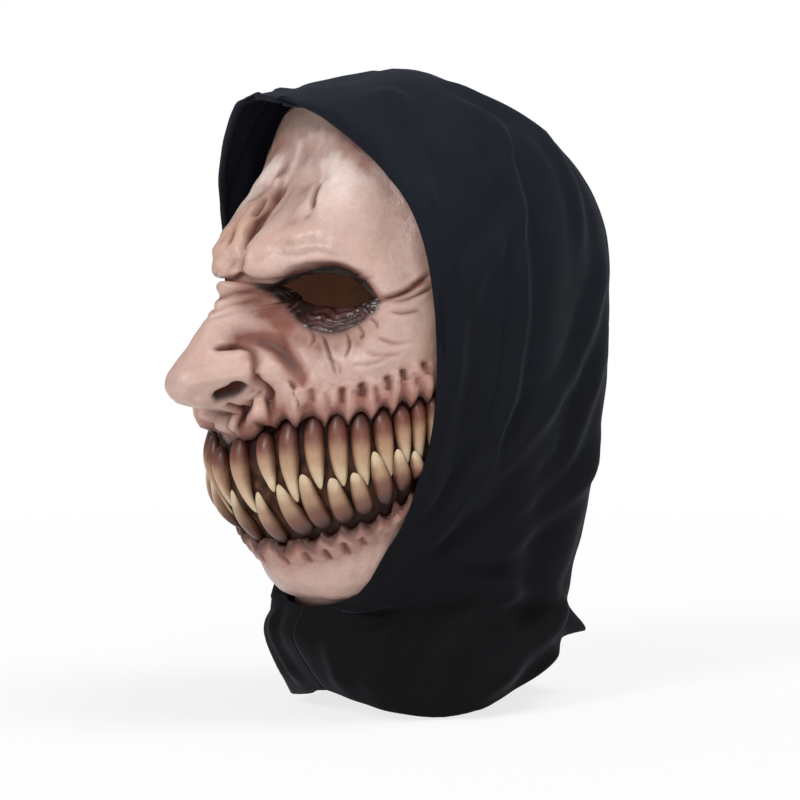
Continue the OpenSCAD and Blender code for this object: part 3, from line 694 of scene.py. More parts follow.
PALE, WASH = np.array([0.545, 0.376, 0.323]), np.array([0.21, 0.056, 0.032])
BROWN, DARK = np.array([0.36, 0.21, 0.125]), np.array([0.055, 0.019, 0.012])
LID_BLACK, LID_PLUM = np.array([0.010, 0.0034, 0.0028]), np.array([0.08, 0.018, 0.014])
# Red-brown washes: amount, width, chart places
WASHES = [
    (1.0, 7, [(5.6, 3), (8, -4), (13.4, -11.4), (20, -17.4)]),
    (0.25, 9, [(12, -12), (20, -22), (28, -27)]),
    (0.4, 3.6, [(24, -21), (34, -23.6), (44, -21.6), (50, -13)]),
    (0.75, 4.2, [(10, -20.6), (13, -20.6), (16.4, -23.6), (19.4, -28), (22.6, -34), (26, -40.4)]),
    (0.5, 2.6, [(8, -23.4), (11.8, -24), (14, -29)]),
    (0.6, 3.2, [(16.4, -40), (18.2, -48), (19.2, -60)]),
    (0.6, 3, [(7.8, -50), (7.8, -66)]),
    (0.2, 4, [(9, -51), (14, -49.5), (18, -46)]),
    (0.35, 5, [(3, -68), (10, -62), (16, -60), (24, -57)]),
    (0.4, 3.4, [(52, -4), (60, 0.6), (68, 7)]),
    (0.7, 2.6, [(13, 9), (20.4, 12.6), (29, 14), (37, 12.2), (43.4, 8), (48, 2.6), (50.6, -2)]),
    (0.7, 1.6, [(6, -54), (5.6, -66)]),
    (0.6, 1.6, [(17.6, -50), (19, -60)]),
]
# Painted highlights: pale patches that lighten the top of the forehead, the lobes under the nose and the band
# above the upper lip: colour, amount, width, chart places
PAINTED_HIGHLIGHTS = [
    ((0.86, 0.71, 0.65), 0.9, 13, [(5, 72), (12, 68), (20, 60), (27, 50)]),
    ((0.76, 0.52, 0.44), 0.5, 6, [(12, -52), (18, -55), (24, -56)]),
    ((0.74, 0.47, 0.39), 0.4, 4.5, [(36, -53), (48, -51), (60, -47)]),
]
NOSTRIL_WIDTH = 3.6


def soften(points, rounds):
    """A grid of points with its small forms smoothed away."""
    for _ in range(rounds):
        inner = (points[:-2, 1:-1] + points[2:, 1:-1] + points[1:-1, :-2] + points[1:-1, 2:]) / 4
        points = points.copy()
        points[1:-1, 1:-1] = inner
    return points


def paint_skin(points, still, t, p, ink, shade, lips):
    """Paint of the skin: pale flesh, red-brown washes, dark lines and black lids, with painted light: the
    shadow under the hood's rim, pale highlights and the nostrils' dark.
    Gives its colour, its roughness and the share of the nostril's painted shade."""
    a, shape = np.abs(t), t.shape
    flat = still.reshape(-1, 3)

    def brush(amount, width, path):
        return amount * stroke(flat, path, width).reshape(shape)

    ink, shade = ink.reshape(shape), shade.reshape(shape)
    # Colour follows the relief: darker in the hollows, near-black in the deepest, and paler on the ridges
    cave = -((points - soften(points, 14)) * grid_normals(points)).sum(-1)
    hollow, high = ease(0.03, 0.6, cave), ease(0.05, 0.6, -cave)
    mottle, ragged = ripple(points, 24, 3), ripple(points, 7, 5) + 0.5 * ripple(points, 3, 6)
    wash = 0.6 * hollow + 0.4 * shade + lips + sum(brush(*one) for one in WASHES)
    wash = clamp(wash * (0.92 + 0.2 * mottle + 0.12 * ragged), 0, 1)
    # Tan brown beside the far brow and toward the sides and top; by the hood's rim it is partly airbrushed
    # edge paint and partly painted shade of the rim
    tan = 0.4 * bell(t + 9, 8) * bell(p - 29, 15) + 0.3 * ease(56, 78, a) + 0.08 * ease(58, 80, p)
    tan = clamp(tan + 0.14 * mottle, 0, 0.75)
    colour = tint(PALE * 0.97, PALE * [1.05, 1.06, 1.07], 0.5 + 0.5 * mottle)
    colour = tint(colour, BROWN * 1.35, tan)
    colour = tint(colour, colour * 1.14, 0.6 * high)
    # Painted highlights on the forehead, under the nose and above the lip
    for pale, *laid in PAINTED_HIGHLIGHTS:
        colour = tint(colour, np.array(pale), brush(*laid))
    # Painted shadow of the hood's rim over the top of the forehead and down its sides, darkest on the
    # wearer's left
    rim_shadow, near = ease(-2.5, 6.5, p - curve(RIM_SHADOW_EDGE, a) - 0.8 * ragged), ease(-30, 12, t)
    colour = tint(colour, colour * [0.42, 0.34, 0.31], 0.4 * rim_shadow * near)
    colour = tint(colour, colour * [0.66, 0.6, 0.57], 0.5 * rim_shadow * (1 - near))
    colour = tint(colour, WASH, 0.86 * wash)
    colour = tint(colour, DARK, clamp(0.6 * ink + 0.5 * ease(0.5, 1.4, cave), 0, 0.85))
    # Painted shade: the mouth of each nostril is made near-black
    nostril = brush(1, NOSTRIL_WIDTH, NOSTRIL_MOUTH)
    colour = tint(colour, DARK * 0.4, 0.97 * ease(0.12, 0.75, nostril))
    low, brow = curve(LID_EDGE, a) + 0.35 * ragged, curve(BROW, a, 1)
    under = brow - 0.4 - p
    lid = ease(-1.5, 1.5, p - low) * ease(-1.0, 0.6, under) * span(a, 4.6, 6.5, 50.4, 52.6)
    rim = ease(-4, 0, p - low) * (1 - lid) * span(a, 9, 16, 49, 54) * ease(-1, 3, under)
    brow_shade = bell(p - brow - 0.6, 1.6) * span(a, 7, 12, 46, 52) * (1 - lid)
    colour = tint(colour, WASH * 0.75, clamp(0.6 * rim + 0.7 * brow_shade, 0, 1))
    plum = clamp(0.2 + 0.9 * high + 0.25 * ragged, 0, 1) * ease(3, 12, -p) * ease(20, 30, a)
    colour = tint(colour, tint(LID_BLACK, LID_PLUM, 0.85 * plum), 0.98 * lid)
    dull = lerp(0.35 + 0.22 * wash + 0.3 * nostril, lerp(0.26, 0.6, ease(0, 4, p - EYE_P)), lid)
    return colour, clamp(dull, 0.2, 0.8), nostril


LID_FOLDS = 4.6


def lid_wrinkles(t, p, points):
    """Fine folds that run along the lids and draw together at the corners of the eye."""
    a = np.abs(t)
    x = clamp((a - EYE_T) / EYE_DEG, -1, 1)
    edge = EYE_P - LID_TILT * x - LID_LOW * (1 - abs(x) ** LOW_POWER)
    down = edge - p
    tall = np.maximum(edge - curve(LID_EDGE, a), 2)
    warp = 0.5 * ripple(points, 14, 51) + 0.22 * ripple(points, 5, 52)
    wave = np.sin(2 * np.pi * (LID_FOLDS * down / tall + warp))
    inside = ease(0.2, 1.4, down) * (1 - ease(0.8, 1.05, down / tall)) * span(a, 9, 15, 48, 52)
    return 0.62 * inside * (abs(wave) ** 0.7 * np.sign(wave) - 0.2)


def skin_grid(cols, row_keys, row_steps):
    """Chart places of a grid: its columns' angles, and rows stepped from key line to key line."""
    lines = np.array([steps([k[j] for k in row_keys], row_steps) for j in range(len(cols))]).T
    return np.broadcast_to(cols, lines.shape), lines


def tuck(points, edge_row, rows, turn, reach):
    """Rolls rows of a grid in behind an edge: the rows after it, or those before it if rows is negative."""
    way = 1 if rows > 0 else -1
    away = unit(points[edge_row] - points[edge_row - way])
    out = grid_normals(points)[edge_row - 2 * way]
    for k in range(1, abs(rows) + 1):
        angle = turn * k / abs(rows)
        roll = away * sin_deg(angle) - out * (1 - cos_deg(angle))
        points[edge_row + way * k] = points[edge_row] + reach * roll
    return points


def pit_redness(flat, pits, amount, width, top, foot):
    """Redness painted over pits, along a short line from above each pit to below it."""
    redness = np.zeros(len(flat))
    for at, up, depth in pits:
        path = [(at + top[0], up + top[1]), (at + foot[0], up + foot[1])]
        redness = np.maximum(redness, amount * depth * stroke(flat, path, width))
    return redness


def lip_marks():
    """Pits above the upper lip, and ribs that run down into its points."""
    marks = []
    for k, (at, up, depth) in enumerate(LIP_PITS):
        path = [(at - 1.2 * (k % 2) - 0.6, up + 3.4 + k % 3), (at - 0.3, up + 0.4),
                (at + 0.8 * (-1) ** k, up - 3.6)]
        marks.append(("crease", 0.95 * depth, 1.5 + 0.3 * (k % 2), BOTH, path))
    for at in (np.array(UPPER_T[2:9]) + np.array(UPPER_T[3:10])) / 2:
        edge = upper_edge(at)
        marks.append(("bump", 2.8, 2.4, BOTH, [(at - 0.6, edge + 13), (at, edge + 6), (at + 0.2, edge - 3)]))
    return marks


def chin_marks():
    """Pits below the lower lip, and the rim of the cup under each lower tooth."""
    marks = []
    for at, up, depth in CHIN_PITS:
        path = [(at - 0.9, up + 2.6 + at % 2), (at, up), (at + 0.7, up - 2.6)]
        marks.append(("crease", 0.8 * depth, 1.5, BOTH, path))
    for at in LOWER_T:
        drop = lower_lip(at) - 3
        path = [(at - 3.6, drop + 2.8), (at - 1.6, drop - 0.4), (at + 0.4, drop - 1), (at + 2.2, drop),
                (at + 3.8, drop + 3)]
        marks.append(("bump", 1.4, 1.6, BOTH, path))
    return marks


SKIN_WALL, ROLL_ROWS, ROLL_TURN = 1.2, 5, 100
HALF_COLS = steps([0, 5, EYE_T - EYE_DEG, 18, EYE_T + EYE_DEG, 60, MOUTH_END, 90, 128],
                  [10, 22, 26, 48, 18, 14, 6, 6])
COLS = np.concatenate([-HALF_COLS[:0:-1], HALF_COLS])
FACE_ROWS = [12, 24, 24, 16, 28, 14, 30, 14]
EYE_ROWS = slice(sum(FACE_ROWS[:3]), sum(FACE_ROWS[:4]))
HOLE_SHARE = 0.75


def upper_face():
    """Forehead, eyes, nose and cheeks down to the rolled edge of the upper lip."""
    level, lip = 0 * COLS, upper_edge(COLS)
    top = 94 - 36 * ease(12, 75, abs(COLS))
    keys = [top, np.minimum(56, top - 1.5), level + 30, level + EYE_P + EYE_HALF, level + EYE_P - EYE_HALF,
            level - 24, level - 37, np.maximum(-51, lip + 2.5), lip]
    t, p, ring = eye_ring(*skin_grid(COLS, keys, FACE_ROWS))
    a, shape, still = abs(t), t.shape, face_form(t, p)
    flat = still.reshape(-1, 3)
    points, _, _ = skin_marks(still, flat, SKIN_FORMS)
    points, ink, shade = skin_marks(points, flat, SKIN_CREASES)
    points, fine, fine_shade = skin_marks(points, flat, LID_CREASES)
    points, pit_ink, pit_shade = skin_marks(points, flat, lip_marks() + [("pit", 4.4, 3.2, BOTH, NOSTRIL)])
    fine, fine_shade = np.maximum(fine, 0.9 * pit_ink), np.maximum(fine_shade, pit_shade)
    points, _, _ = skin_marks(points, flat, [("bump", 1.2, 1.6, BOTH, NOSTRIL_RIM)])
    points = raised(points, lid_wrinkles(t, p, points))
    rough = 0.3 * ripple(points, 30, 1) + 0.2 * ripple(points, 11, 2) + 0.09 * ripple(points, 4.5, 4)
    rough = rough * (1 - 0.65 * bell(t, 11) * bell(p + 28, 18))
    points = raised(points, (rough - 1.8 * (1 - ease(1, 1.14, ring))) * (1 - ease(70, 80, a)))
    above, side = p - upper_edge(t), ease(8, 24, a)
    lips = (0.65 * (1 - ease(-0.5, 8, above)) + 0.36 * (1 - ease(4, 18, above))) * side
    lips = lips + pit_redness(flat, LIP_PITS, 0.14, 3.4, (-0.8, 3), (0, -2)).reshape(shape)
    lips = clamp(lips + 0.5 * (1 - ease(0, 6, above)) * (1 - side), 0, 1)
    ink, shadow = np.maximum(ink, fine), np.maximum(shade, 0.7 * fine_shade)
    colour, dull, nostril = paint_skin(points, still, t, p, ink, shadow, lips)
    colour = tint(colour, DARK, 0.8 * (1 - ease(0, 2.2, above)))
    thin = ease(0, 5, above) * (1 - stroke(flat, NOSTRIL, 6).reshape(shape)) * ease(1, 1.3, ring)
    thin = thin * (1 - 0.9 * shade.reshape(shape)) * (1 - bell(a - 10, 6) * bell(p - 4, 8))

    def with_roll(v):
        return np.concatenate([v, np.repeat(v[-1:], ROLL_ROWS, 0)])

    points = tuck(with_roll(points), shape[0] - 1, ROLL_ROWS, ROLL_TURN, 2.4)
    kept = np.ones((points.shape[0] - 1, points.shape[1] - 1), bool)
    kept[EYE_ROWS, :] = abs(abs(COLS[1:] + COLS[:-1]) / 2 - EYE_T) > EYE_DEG
    paints = {"paint": colour, "dull": dull, "wall": thin, "hole": nostril}
    mesh = grid_mesh("upper_face_skin", points, kept, {label: with_roll(v) for label, v in paints.items()})
    piece("upper_face_skin", mesh, [SKIN, INSIDE, NOSE_HOLE], ["face_skin"], SKIN_WALL, 1)
    hole = values_of(mesh, "hole")
    for face in mesh.polygons:
        if hole[list(face.vertices)].min() > HOLE_SHARE:
            face.material_index = 2


CHIN_COLS = steps([0, 60, MOUTH_END, 90], [84, 14, 7])
NECK_FLANGE, FLANGE_ROWS = 14, 6


def chin():
    """Lower lip and chin, down to a flange that hangs inside the neck of the hood."""
    cols = np.concatenate([-CHIN_COLS[:0:-1], CHIN_COLS])
    keys = [lower_edge(cols), -131 + 18 * ease(50, 85, abs(cols)), 0 * cols - 150, 0 * cols - 152.5]
    t, p = skin_grid(cols, keys, [28, 16, 3])
    shape, still = t.shape, face_form(t, p)
    flat = still.reshape(-1, 3)
    points, ink, shade = skin_marks(still, flat, SKIN_CREASES[-1:])
    points, pit_ink, pit_shade = skin_marks(points, flat, chin_marks())
    ink, shade = np.maximum(ink, 0.7 * pit_ink), np.maximum(shade, pit_shade)
    rough = 0.35 * ripple(points, 26, 11) + 0.2 * ripple(points, 10, 12) + 0.08 * ripple(points, 4.5, 13)
    points = raised(points, rough * (1 - ease(70, 80, abs(t))))
    below = lower_edge(t) - p
    red = pit_redness(flat, CHIN_PITS, 0.2, 2.6, (-0.4, 1), (0.4, -1)).reshape(shape)
    lips = clamp(0.8 * (1 - ease(0, 7, below)) + 0.5 * (1 - ease(4, 20, below)) + 0.7 * red, 0, 1)
    colour, dull, _ = paint_skin(points, still, t, p, ink, shade, lips)
    colour = tint(colour, DARK, 0.85 * (1 - ease(0.2, 4.4, below)))

    def with_ends(v):
        return np.concatenate([np.repeat(v[:1], ROLL_ROWS, 0), v, np.repeat(v[-1:], FLANGE_ROWS, 0)])

    points = tuck(with_ends(points), ROLL_ROWS, -ROLL_ROWS, ROLL_TURN, 2.2)
    for k in range(1, FLANGE_ROWS + 1):
        points[k - FLANGE_ROWS - 1, :, 2] -= NECK_FLANGE * k / FLANGE_ROWS
    paints = {"paint": with_ends(colour), "dull": with_ends(dull), "wall": with_ends(ease(0, 4, below))}
    # Painted shade: the flange is near-black, so that it reads as the dark under the chin
    paints["paint"][-FLANGE_ROWS:] = DARK
    mesh = grid_mesh("chin_skin", points, None, paints)
    piece("chin_skin", mesh, [SKIN, INSIDE], ["face_skin"], SKIN_WALL, 1)


# Gum and teeth

GUM_WALL = 2
GUM_DARK, GUM_RED = np.array([0.016, 0.005, 0.0034]), np.array([0.10, 0.045, 0.024])


def gum():
    """Web of latex that closes the mouth behind the teeth and stands up between their roots."""
    cols = np.linspace(-80, 80, 181)
    up, low = upper_lip(cols), lower_lip(cols)
    t, p = skin_grid(cols, [up + 5, up - 1, low + 1, low - 5], [5, 34, 5])
    depth = lerp(-0.35, -4.5, ease(75, 77, abs(t)))
    seat = lerp(depth, -3.6, np.maximum(ease(0, 5, p - upper_lip(t)), ease(0, 5, lower_lip(t) - p)))
    points = base_pt(t, p) + seat[..., None] * out_dir(t, p)
    web = between(t, UPPER_T) ** 2 * ease(-26, -4, p - upper_lip(t)) * ease(0, 4, upper_lip(t) - p)
    foot = between(t, LOWER_T) ** 2 * ease(-20, -3, lower_lip(t) - p) * ease(0, 4, p - lower_lip(t))
    push = 1.5 * web + 1.3 * foot + 0.3 * ripple(points, 6, 21) + 0.25 * ripple(points, 2.6, 22)
    points = points + (push * (1 - ease(70, 75, abs(t))))[..., None] * out_dir(t, p)
    mid = ease(4, 20, upper_lip(t) - p) * ease(4, 16, p - lower_lip(t))
    rough = clamp(0.5 + 0.5 * ripple(points, 7, 23), 0, 1)
    mesh = grid_mesh("gum_web", points, None, {"paint": tint(GUM_DARK, GUM_RED, mid * rough)})
    piece("gum_web", mesh, [GUM], ["gum_insert"], GUM_WALL)


# Paint along a tooth from root to tip, and the shares of its length between which each colour turns
UPPER_TONES = [(0.06, 0.016, 0.012), (0.17, 0.052, 0.032), (0.44, 0.265, 0.16), (0.66, 0.52, 0.345)]
UPPER_TURNS = (0.02, 0.26, 0.52, 0.9)
LOWER_TONES = [(0.045, 0.016, 0.011), (0.17, 0.066, 0.042), (0.38, 0.235, 0.145), (0.62, 0.49, 0.325)]
LOWER_TURNS = (0.04, 0.3, 0.6, 0.92)
TOOTH_RISE, WIDEST = 7.0, 0.3


def tooth(bm, layer, root, tip, width, lift, tones, turns):
    """One tooth: a ball drawn out into a bullet that lies on the gum from its root to its tip."""
    verts = bmesh.ops.create_uvsphere(bm, u_segments=18, v_segments=18, radius=1)["verts"]
    ball = np.array([v.co for v in verts])
    s = np.arccos(clamp(ball[:, 2], -1, 1)) / np.pi
    s = 0.5 * s + 0.5 * (1 - ball[:, 2]) / 2
    swell = np.sqrt(1 - clamp((WIDEST - s) / WIDEST, 0, 1) ** 2.4)
    swell = swell * np.sqrt(1 - clamp((s - WIDEST) / (1 - WIDEST), 0, 1) ** 1.75) ** 1.15
    off_axis = np.linalg.norm(ball[:, :2], axis=1, keepdims=True)
    round_xy = np.where(off_axis < 1e-6, 0, ball[:, :2] / np.maximum(off_axis, 1e-6))

    def on_chart(share):
        return lerp(root[0], tip[0], share), lerp(root[1], tip[1], share)

    at_t, at_p = on_chart(s)
    at_t = at_t + (tip[0] - root[0]) * 0.22 * (s * s - s)
    foot, out = base_pt(at_t, at_p), out_dir(at_t, at_p)
    along = unit(base_pt(*on_chart(s + 0.02)) - base_pt(*on_chart(s)))
    across = unit(np.cross(out, along))
    high = TOOTH_RISE * (0.55 + 0.45 * np.sin(np.pi * clamp(s * 1.1 + 0.05, 0, 1))) * swell
    place = (foot + across * (width / 2 * swell * round_xy[:, 0])[:, None]
             + out * (lift * s + 0.3 + 0.22 * TOOTH_RISE + 0.68 * high * round_xy[:, 1])[:, None])
    tones = np.array(tones)
    tone = tones[0] + 0 * foot
    for k in range(3):
        tone = tint(tone, tones[k + 1], ease(turns[k], turns[k + 1], s))
    # Painted shade: each tooth darkens toward its flanks, in the gaps between the teeth, except near its tip
    side = ease(0.5, 1.0, abs(round_xy[:, 0])) * (1 - ease(0.7, 1, s))
    tone = tint(tone, tone * [0.4, 0.29, 0.24], 0.8 * side)
    for v, spot, c in zip(verts, (place * MM).tolist(), tone.tolist()):
        v.co = spot
        v[layer] = (*c, 1)


def tooth_row(name, node, teeth, tones, turns):
    """A row of teeth as one piece."""
    bm = bmesh.new()
    layer = bm.verts.layers.float_color.new("paint")
    for one in teeth:
        tooth(bm, layer, *one, tones, turns)
    bmesh.ops.recalc_face_normals(bm, faces=bm.faces)
    obj = piece(name, mesh_of(bm, name), [TOOTH], [node])
    fine = obj.modifiers.new("rounding", "SUBSURF")
    fine.levels = fine.render_levels = 1


# Tips of the upper and lower teeth on the chart, and their widths
UPPER_TIPS = [(4.4, -102.5), (17.6, -92.5), (26.5, -96.5), (36.2, -91), (44.4, -90), (52.1, -90),
              (60.2, -85.5), (65.5, -78.5), (69.8, -78), (74, -73)]
UPPER_WIDE = [10.8, 10, 10.4, 10.2, 10, 9.8, 9.4, 8.4, 7.6, 7]
LOWER_TIPS = [(7, -92), (21, -89), (30, -83.5), (40.1, -85.5), (47.4, -82.5), (53.6, -72), (61.2, -71),
              (66.8, -72)]
LOWER_WIDE = [10.2, 10.8, 10.2, 10.4, 9.6, 9.6, 8.8, 7.6]
UPPER_LIFT, LOWER_LIFT = 0.2, 3.0
FRONT_LEAN = 4.6


def teeth():
    """Both rows. The two front lower teeth lean to the wearer's left."""
    upper, lower = [], []
    for k, at in enumerate(UPPER_T):
        for side in (BOTH if k else LEFT):
            drop = float(lip_drop(side * at))
            top = float(min(upper_lip(at - 4), upper_lip(at + 4))) + 1.5 - drop
            tip = (side * UPPER_TIPS[k][0] + 0.7 * drop, UPPER_TIPS[k][1] - 1.2 * drop)
            upper.append(((side * at, top), tip, UPPER_WIDE[k], UPPER_LIFT))
    for k, ((root_t, root_p), (tip_t, tip_p)) in enumerate(zip(LOWER_ROOTS, LOWER_TIPS)):
        for side in BOTH:
            tip = (side * tip_t + (0 if k else FRONT_LEAN), tip_p)
            lower.append(((side * root_t, root_p), tip, LOWER_WIDE[k], LOWER_LIFT))
    tooth_row("upper_fangs", "upper_teeth", upper, UPPER_TONES, UPPER_TURNS)
    tooth_row("lower_fangs", "lower_teeth", lower, LOWER_TONES, LOWER_TURNS)


# The hood

# Rim of the hood: place down it, then the chart's height and angle, height off the skin, and lift
LOW_RIM = [[0.36, 25, 63, 12, -1], [0.5, -20, 69.5, 10, 0], [0.64, -66, 71, 8, 0], [0.74, -102, 65, 6, 0],
           [0.8, -126, 54.5, 3, 0], [0.84, -144, 40, 2.5, -1], [0.87, -154, 0, 4, -4]]
LEFT_RIM = [[0, 94, 0, 22.5, 1], [0.06, 91, 9.4, 20, -2], [0.14, 82, 21.6, 15, -3],
            [0.24, 60, 46.6, 14, -4]] + LOW_RIM
RIGHT_RIM = [[0, 94, 0, 22.5, 1], [0.06, 91, 12, 23.5, 5.5], [0.1, 87.2, 18.6, 24.4, 6.8],
             [0.14, 82, 27, 25, 6], [0.24, 60, 48, 21, -1]] + LOW_RIM
# Turn of the far rim toward the side at the corner of the neck: angle, place and spread down the rim
CORNER_TURN, CORNER_S, CORNER_SPREAD = 32, 0.838, 0.028
# Down the panel: depth and drop of the front seam, depth and height of the back seam, half width
NECK = [[0.87, 54.15, 152], [0.91, 60.15, 165], [0.95, 51.15, 180], [1, 40.15, 192]]
BACK = [[0, -52, 100], [0.06, -28, 105], [0.12, 8, 111], [0.24, 66, 88], [0.36, 116, 48], [0.5, 128, -8],
        [0.64, 125, -68], [0.78, 112, -124], [0.87, 99, -152], [1, 112, -173]]
SIDE = [[0, 0.1], [0.06, 27], [0.12, 48], [0.24, 76.5], [0.36, 82.5], [0.5, 81.5], [0.64, 78], [0.78, 70],
        [0.87, 66], [1, 65]]
# Place of the neck down the panel, of its widest line round it, and the gap that each panel leaves at a seam
NECK_S, FRONT, SEAM_GAP = 0.87, 0.42, 0.1
FOLD_HEIGHT = 3


def hood_fold(s, i):
    """Height of the broad folds in the cut of a panel."""
    ridge, calm = 0.26 - 0.14 * ease(0.4, 0.75, s), 1 - ease(0.8, 0.93, i)
    return FOLD_HEIGHT * (
        (0.8 * bell(i - 0.12, 0.05) - 0.5 * bell(i - 0.21, 0.04)) * span(s, 0.05, 0.2, 0.7, 0.84)
        + 0.5 * bell(i - ridge, 0.05) * span(s, 0.08, 0.22, 0.66, 0.82)
        + 0.9 * sin_deg(360 * (4.2 * i + 0.8 * s)) * ease(0.2, 0.6, s) * ease(0.36, 0.5, i) * calm
        + bell(s - 0.9 - 0.05 * sin_deg(360 * i - 60), 0.022) * ease(0.03, 0.2, i) * calm
        + 0.9 * sin_deg(360 * (3 * i - 2.2 * s)) * ease(0.86, 0.98, s) * ease(0.05, 0.2, i) * calm)


def hood_pt(s, i, side):
    """Points of a panel, on the +X side for both: a quarter round from the rim to its widest line, then
    another to the back seam. s runs down the rim and i from the rim to the back."""
    edge = LEFT_RIM if side > 0 else RIGHT_RIM
    p, t = curve(edge, s, 1), curve(edge, s, 2)
    if side < 0:
        t = t + CORNER_TURN * bell(s - CORNER_S, CORNER_SPREAD)
    rim = base_pt(t, p) + curve(edge, s, 3)[..., None] * out_dir(t, p)
    rim[..., 2] += curve(edge, s, 4)
    seam = np.stack([0 * s + SEAM_GAP, -curve(NECK, s, 1), -curve(NECK, s, 2)], -1)
    rim_x, rim_y, rim_z = np.moveaxis(np.where((s < NECK_S)[..., None], rim, seam), -1, 0)
    wide = np.maximum(curve(SIDE, s), rim_x)
    back_y, back_z = curve(BACK, s, 1), curve(BACK, s, 2)
    mid_y = lerp(rim_y, back_y, clamp((20 - rim_y) / (back_y - rim_y), 0.3, 0.6))
    first, second = 90 * clamp(i / FRONT, 0, 1), 90 * clamp((i - FRONT) / (1 - FRONT), 0, 1)
    x = np.where(i < FRONT, lerp(rim_x, wide, sin_deg(first)), lerp(SEAM_GAP, wide, cos_deg(second)))
    y = np.where(i < FRONT, lerp(rim_y, mid_y, 1 - cos_deg(first)), lerp(mid_y, back_y, sin_deg(second)))
    sag = ease(0.86, 1, s) * (14.4 * bell(i - 0.32, 0.17) - 7 * bell(i - 0.64, 0.14))
    z = lerp(rim_z, back_z, clamp((y - rim_y) / (back_y - rim_y), 0, 1) ** 1.4) - sag
    depth = np.where(y < mid_y, mid_y - rim_y, back_y - mid_y)
    out = unit(np.stack([x / wide + 0.001, (y - mid_y) / depth, 0 * x], -1))
    fold = hood_fold(s, i)
    return np.stack([np.maximum(x + fold * out[..., 0], SEAM_GAP), y + fold * out[..., 1], z], -1)


# Drapes: height, width, and places down the panel and round it from the rim
DRAPES = [
    (3.4, 4.5, [(0.14, 0.47), (0.183, 0.447), (0.25, 0.37), (0.347, 0.39), (0.483, 0.4), (0.59, 0.373),
                (0.667, 0.32), (0.743, 0.213), (0.8, 0.12)]),
    (2.2, 4.5, [(0.07, 0.42), (0.117, 0.35), (0.213, 0.203), (0.277, 0.147), (0.34, 0.12)]),
    (2.4, 6, [(0.3, 0.42), (0.347, 0.37), (0.41, 0.267), (0.477, 0.193), (0.55, 0.17), (0.64, 0.14)]),
    (3.0, 6, [(0.4, 0.7), (0.463, 0.643), (0.56, 0.557), (0.65, 0.41), (0.723, 0.28), (0.813, 0.127),
              (0.85, 0.05)]),
    (3.2, 6, [(0.62, 0.74), (0.697, 0.627), (0.78, 0.42), (0.81, 0.24), (0.83, 0.08), (0.85, 0.02)]),
    (2.4, 5, [(0.52, 0.68), (0.6, 0.61), (0.687, 0.547), (0.747, 0.407), (0.793, 0.26), (0.82, 0.15)]),
    (3.0, 5, [(0.88, 0.02), (0.85, 0.08), (0.835, 0.2), (0.83, 0.363), (0.86, 0.6), (0.9, 0.8)]),
    (2.6, 6, [(0.83, 0.46), (0.85, 0.403), (0.907, 0.33), (0.953, 0.263), (0.99, 0.22)]),
    (2.8, 6, [(0.89, 0.7), (0.917, 0.6), (0.943, 0.45), (0.963, 0.377), (0.99, 0.33)]),
    (2.2, 5, [(0.84, 0.25), (0.86, 0.223), (0.913, 0.193), (0.98, 0.133)]),
    (2.0, 5, [(0.88, 0.1), (0.92, 0.09), (0.99, 0.06)]),
    (2.2, 6, [(0.1, 0.62), (0.2, 0.6), (0.32, 0.6), (0.45, 0.56)]),
    (2.2, 6, [(0.2, 0.8), (0.4, 0.78), (0.6, 0.76), (0.78, 0.78)]),
]


def drapes(points, side):
    """How far the drapes lift the cloth: a round ridge with a shallow dip on each side."""
    still, rise = points.reshape(-1, 3), np.zeros(points.shape[0] * points.shape[1])
    along = np.linspace(0, 1, 80)
    for height, width, path in DRAPES:
        knots = np.linspace(0, 1, len(path))
        down, round_it = (np.interp(along, knots, [spot[k] for spot in path]) for k in (0, 1))
        gap, share = distance_to(still, hood_pt(down, round_it, side), 4 * width)
        x, fade = gap / width, ease(0, 0.2, share) * (1 - ease(0.75, 1, share))
        rise += height * fade * (np.exp(-x ** 2) - 0.4 * np.exp(-((x - 1.9) / 0.9) ** 2))
    return rise.reshape(points.shape[:2])


# Grid rows of a panel, the columns and rows that its flaps reach, and sizes of the sewn edge
RIM_ROWS, NECK_ROWS = 100, 34
FLAP_COLS, HEM_ROWS = (12, 18), (4, 7)
EDGE_ROLL, FLAP_DEPTH, CLOTH_WALL = 1.4, 3, 1.2


def turned_edge(edge, back, out, flap):
    """Lines of cloth that carry on from an edge: rolled over it, then flat on the inside as a sewn hem."""
    return [edge - EDGE_ROLL * (back * sin_deg(k) + out * (1 - cos_deg(k))) for k in (60, 120, 180)] + flap


def run_along(points, axis):
    """Distance along each line of a grid from its start."""
    run = np.cumsum(np.linalg.norm(np.diff(points, axis=axis), axis=2), axis)
    return np.insert(run, 0, 0, axis)


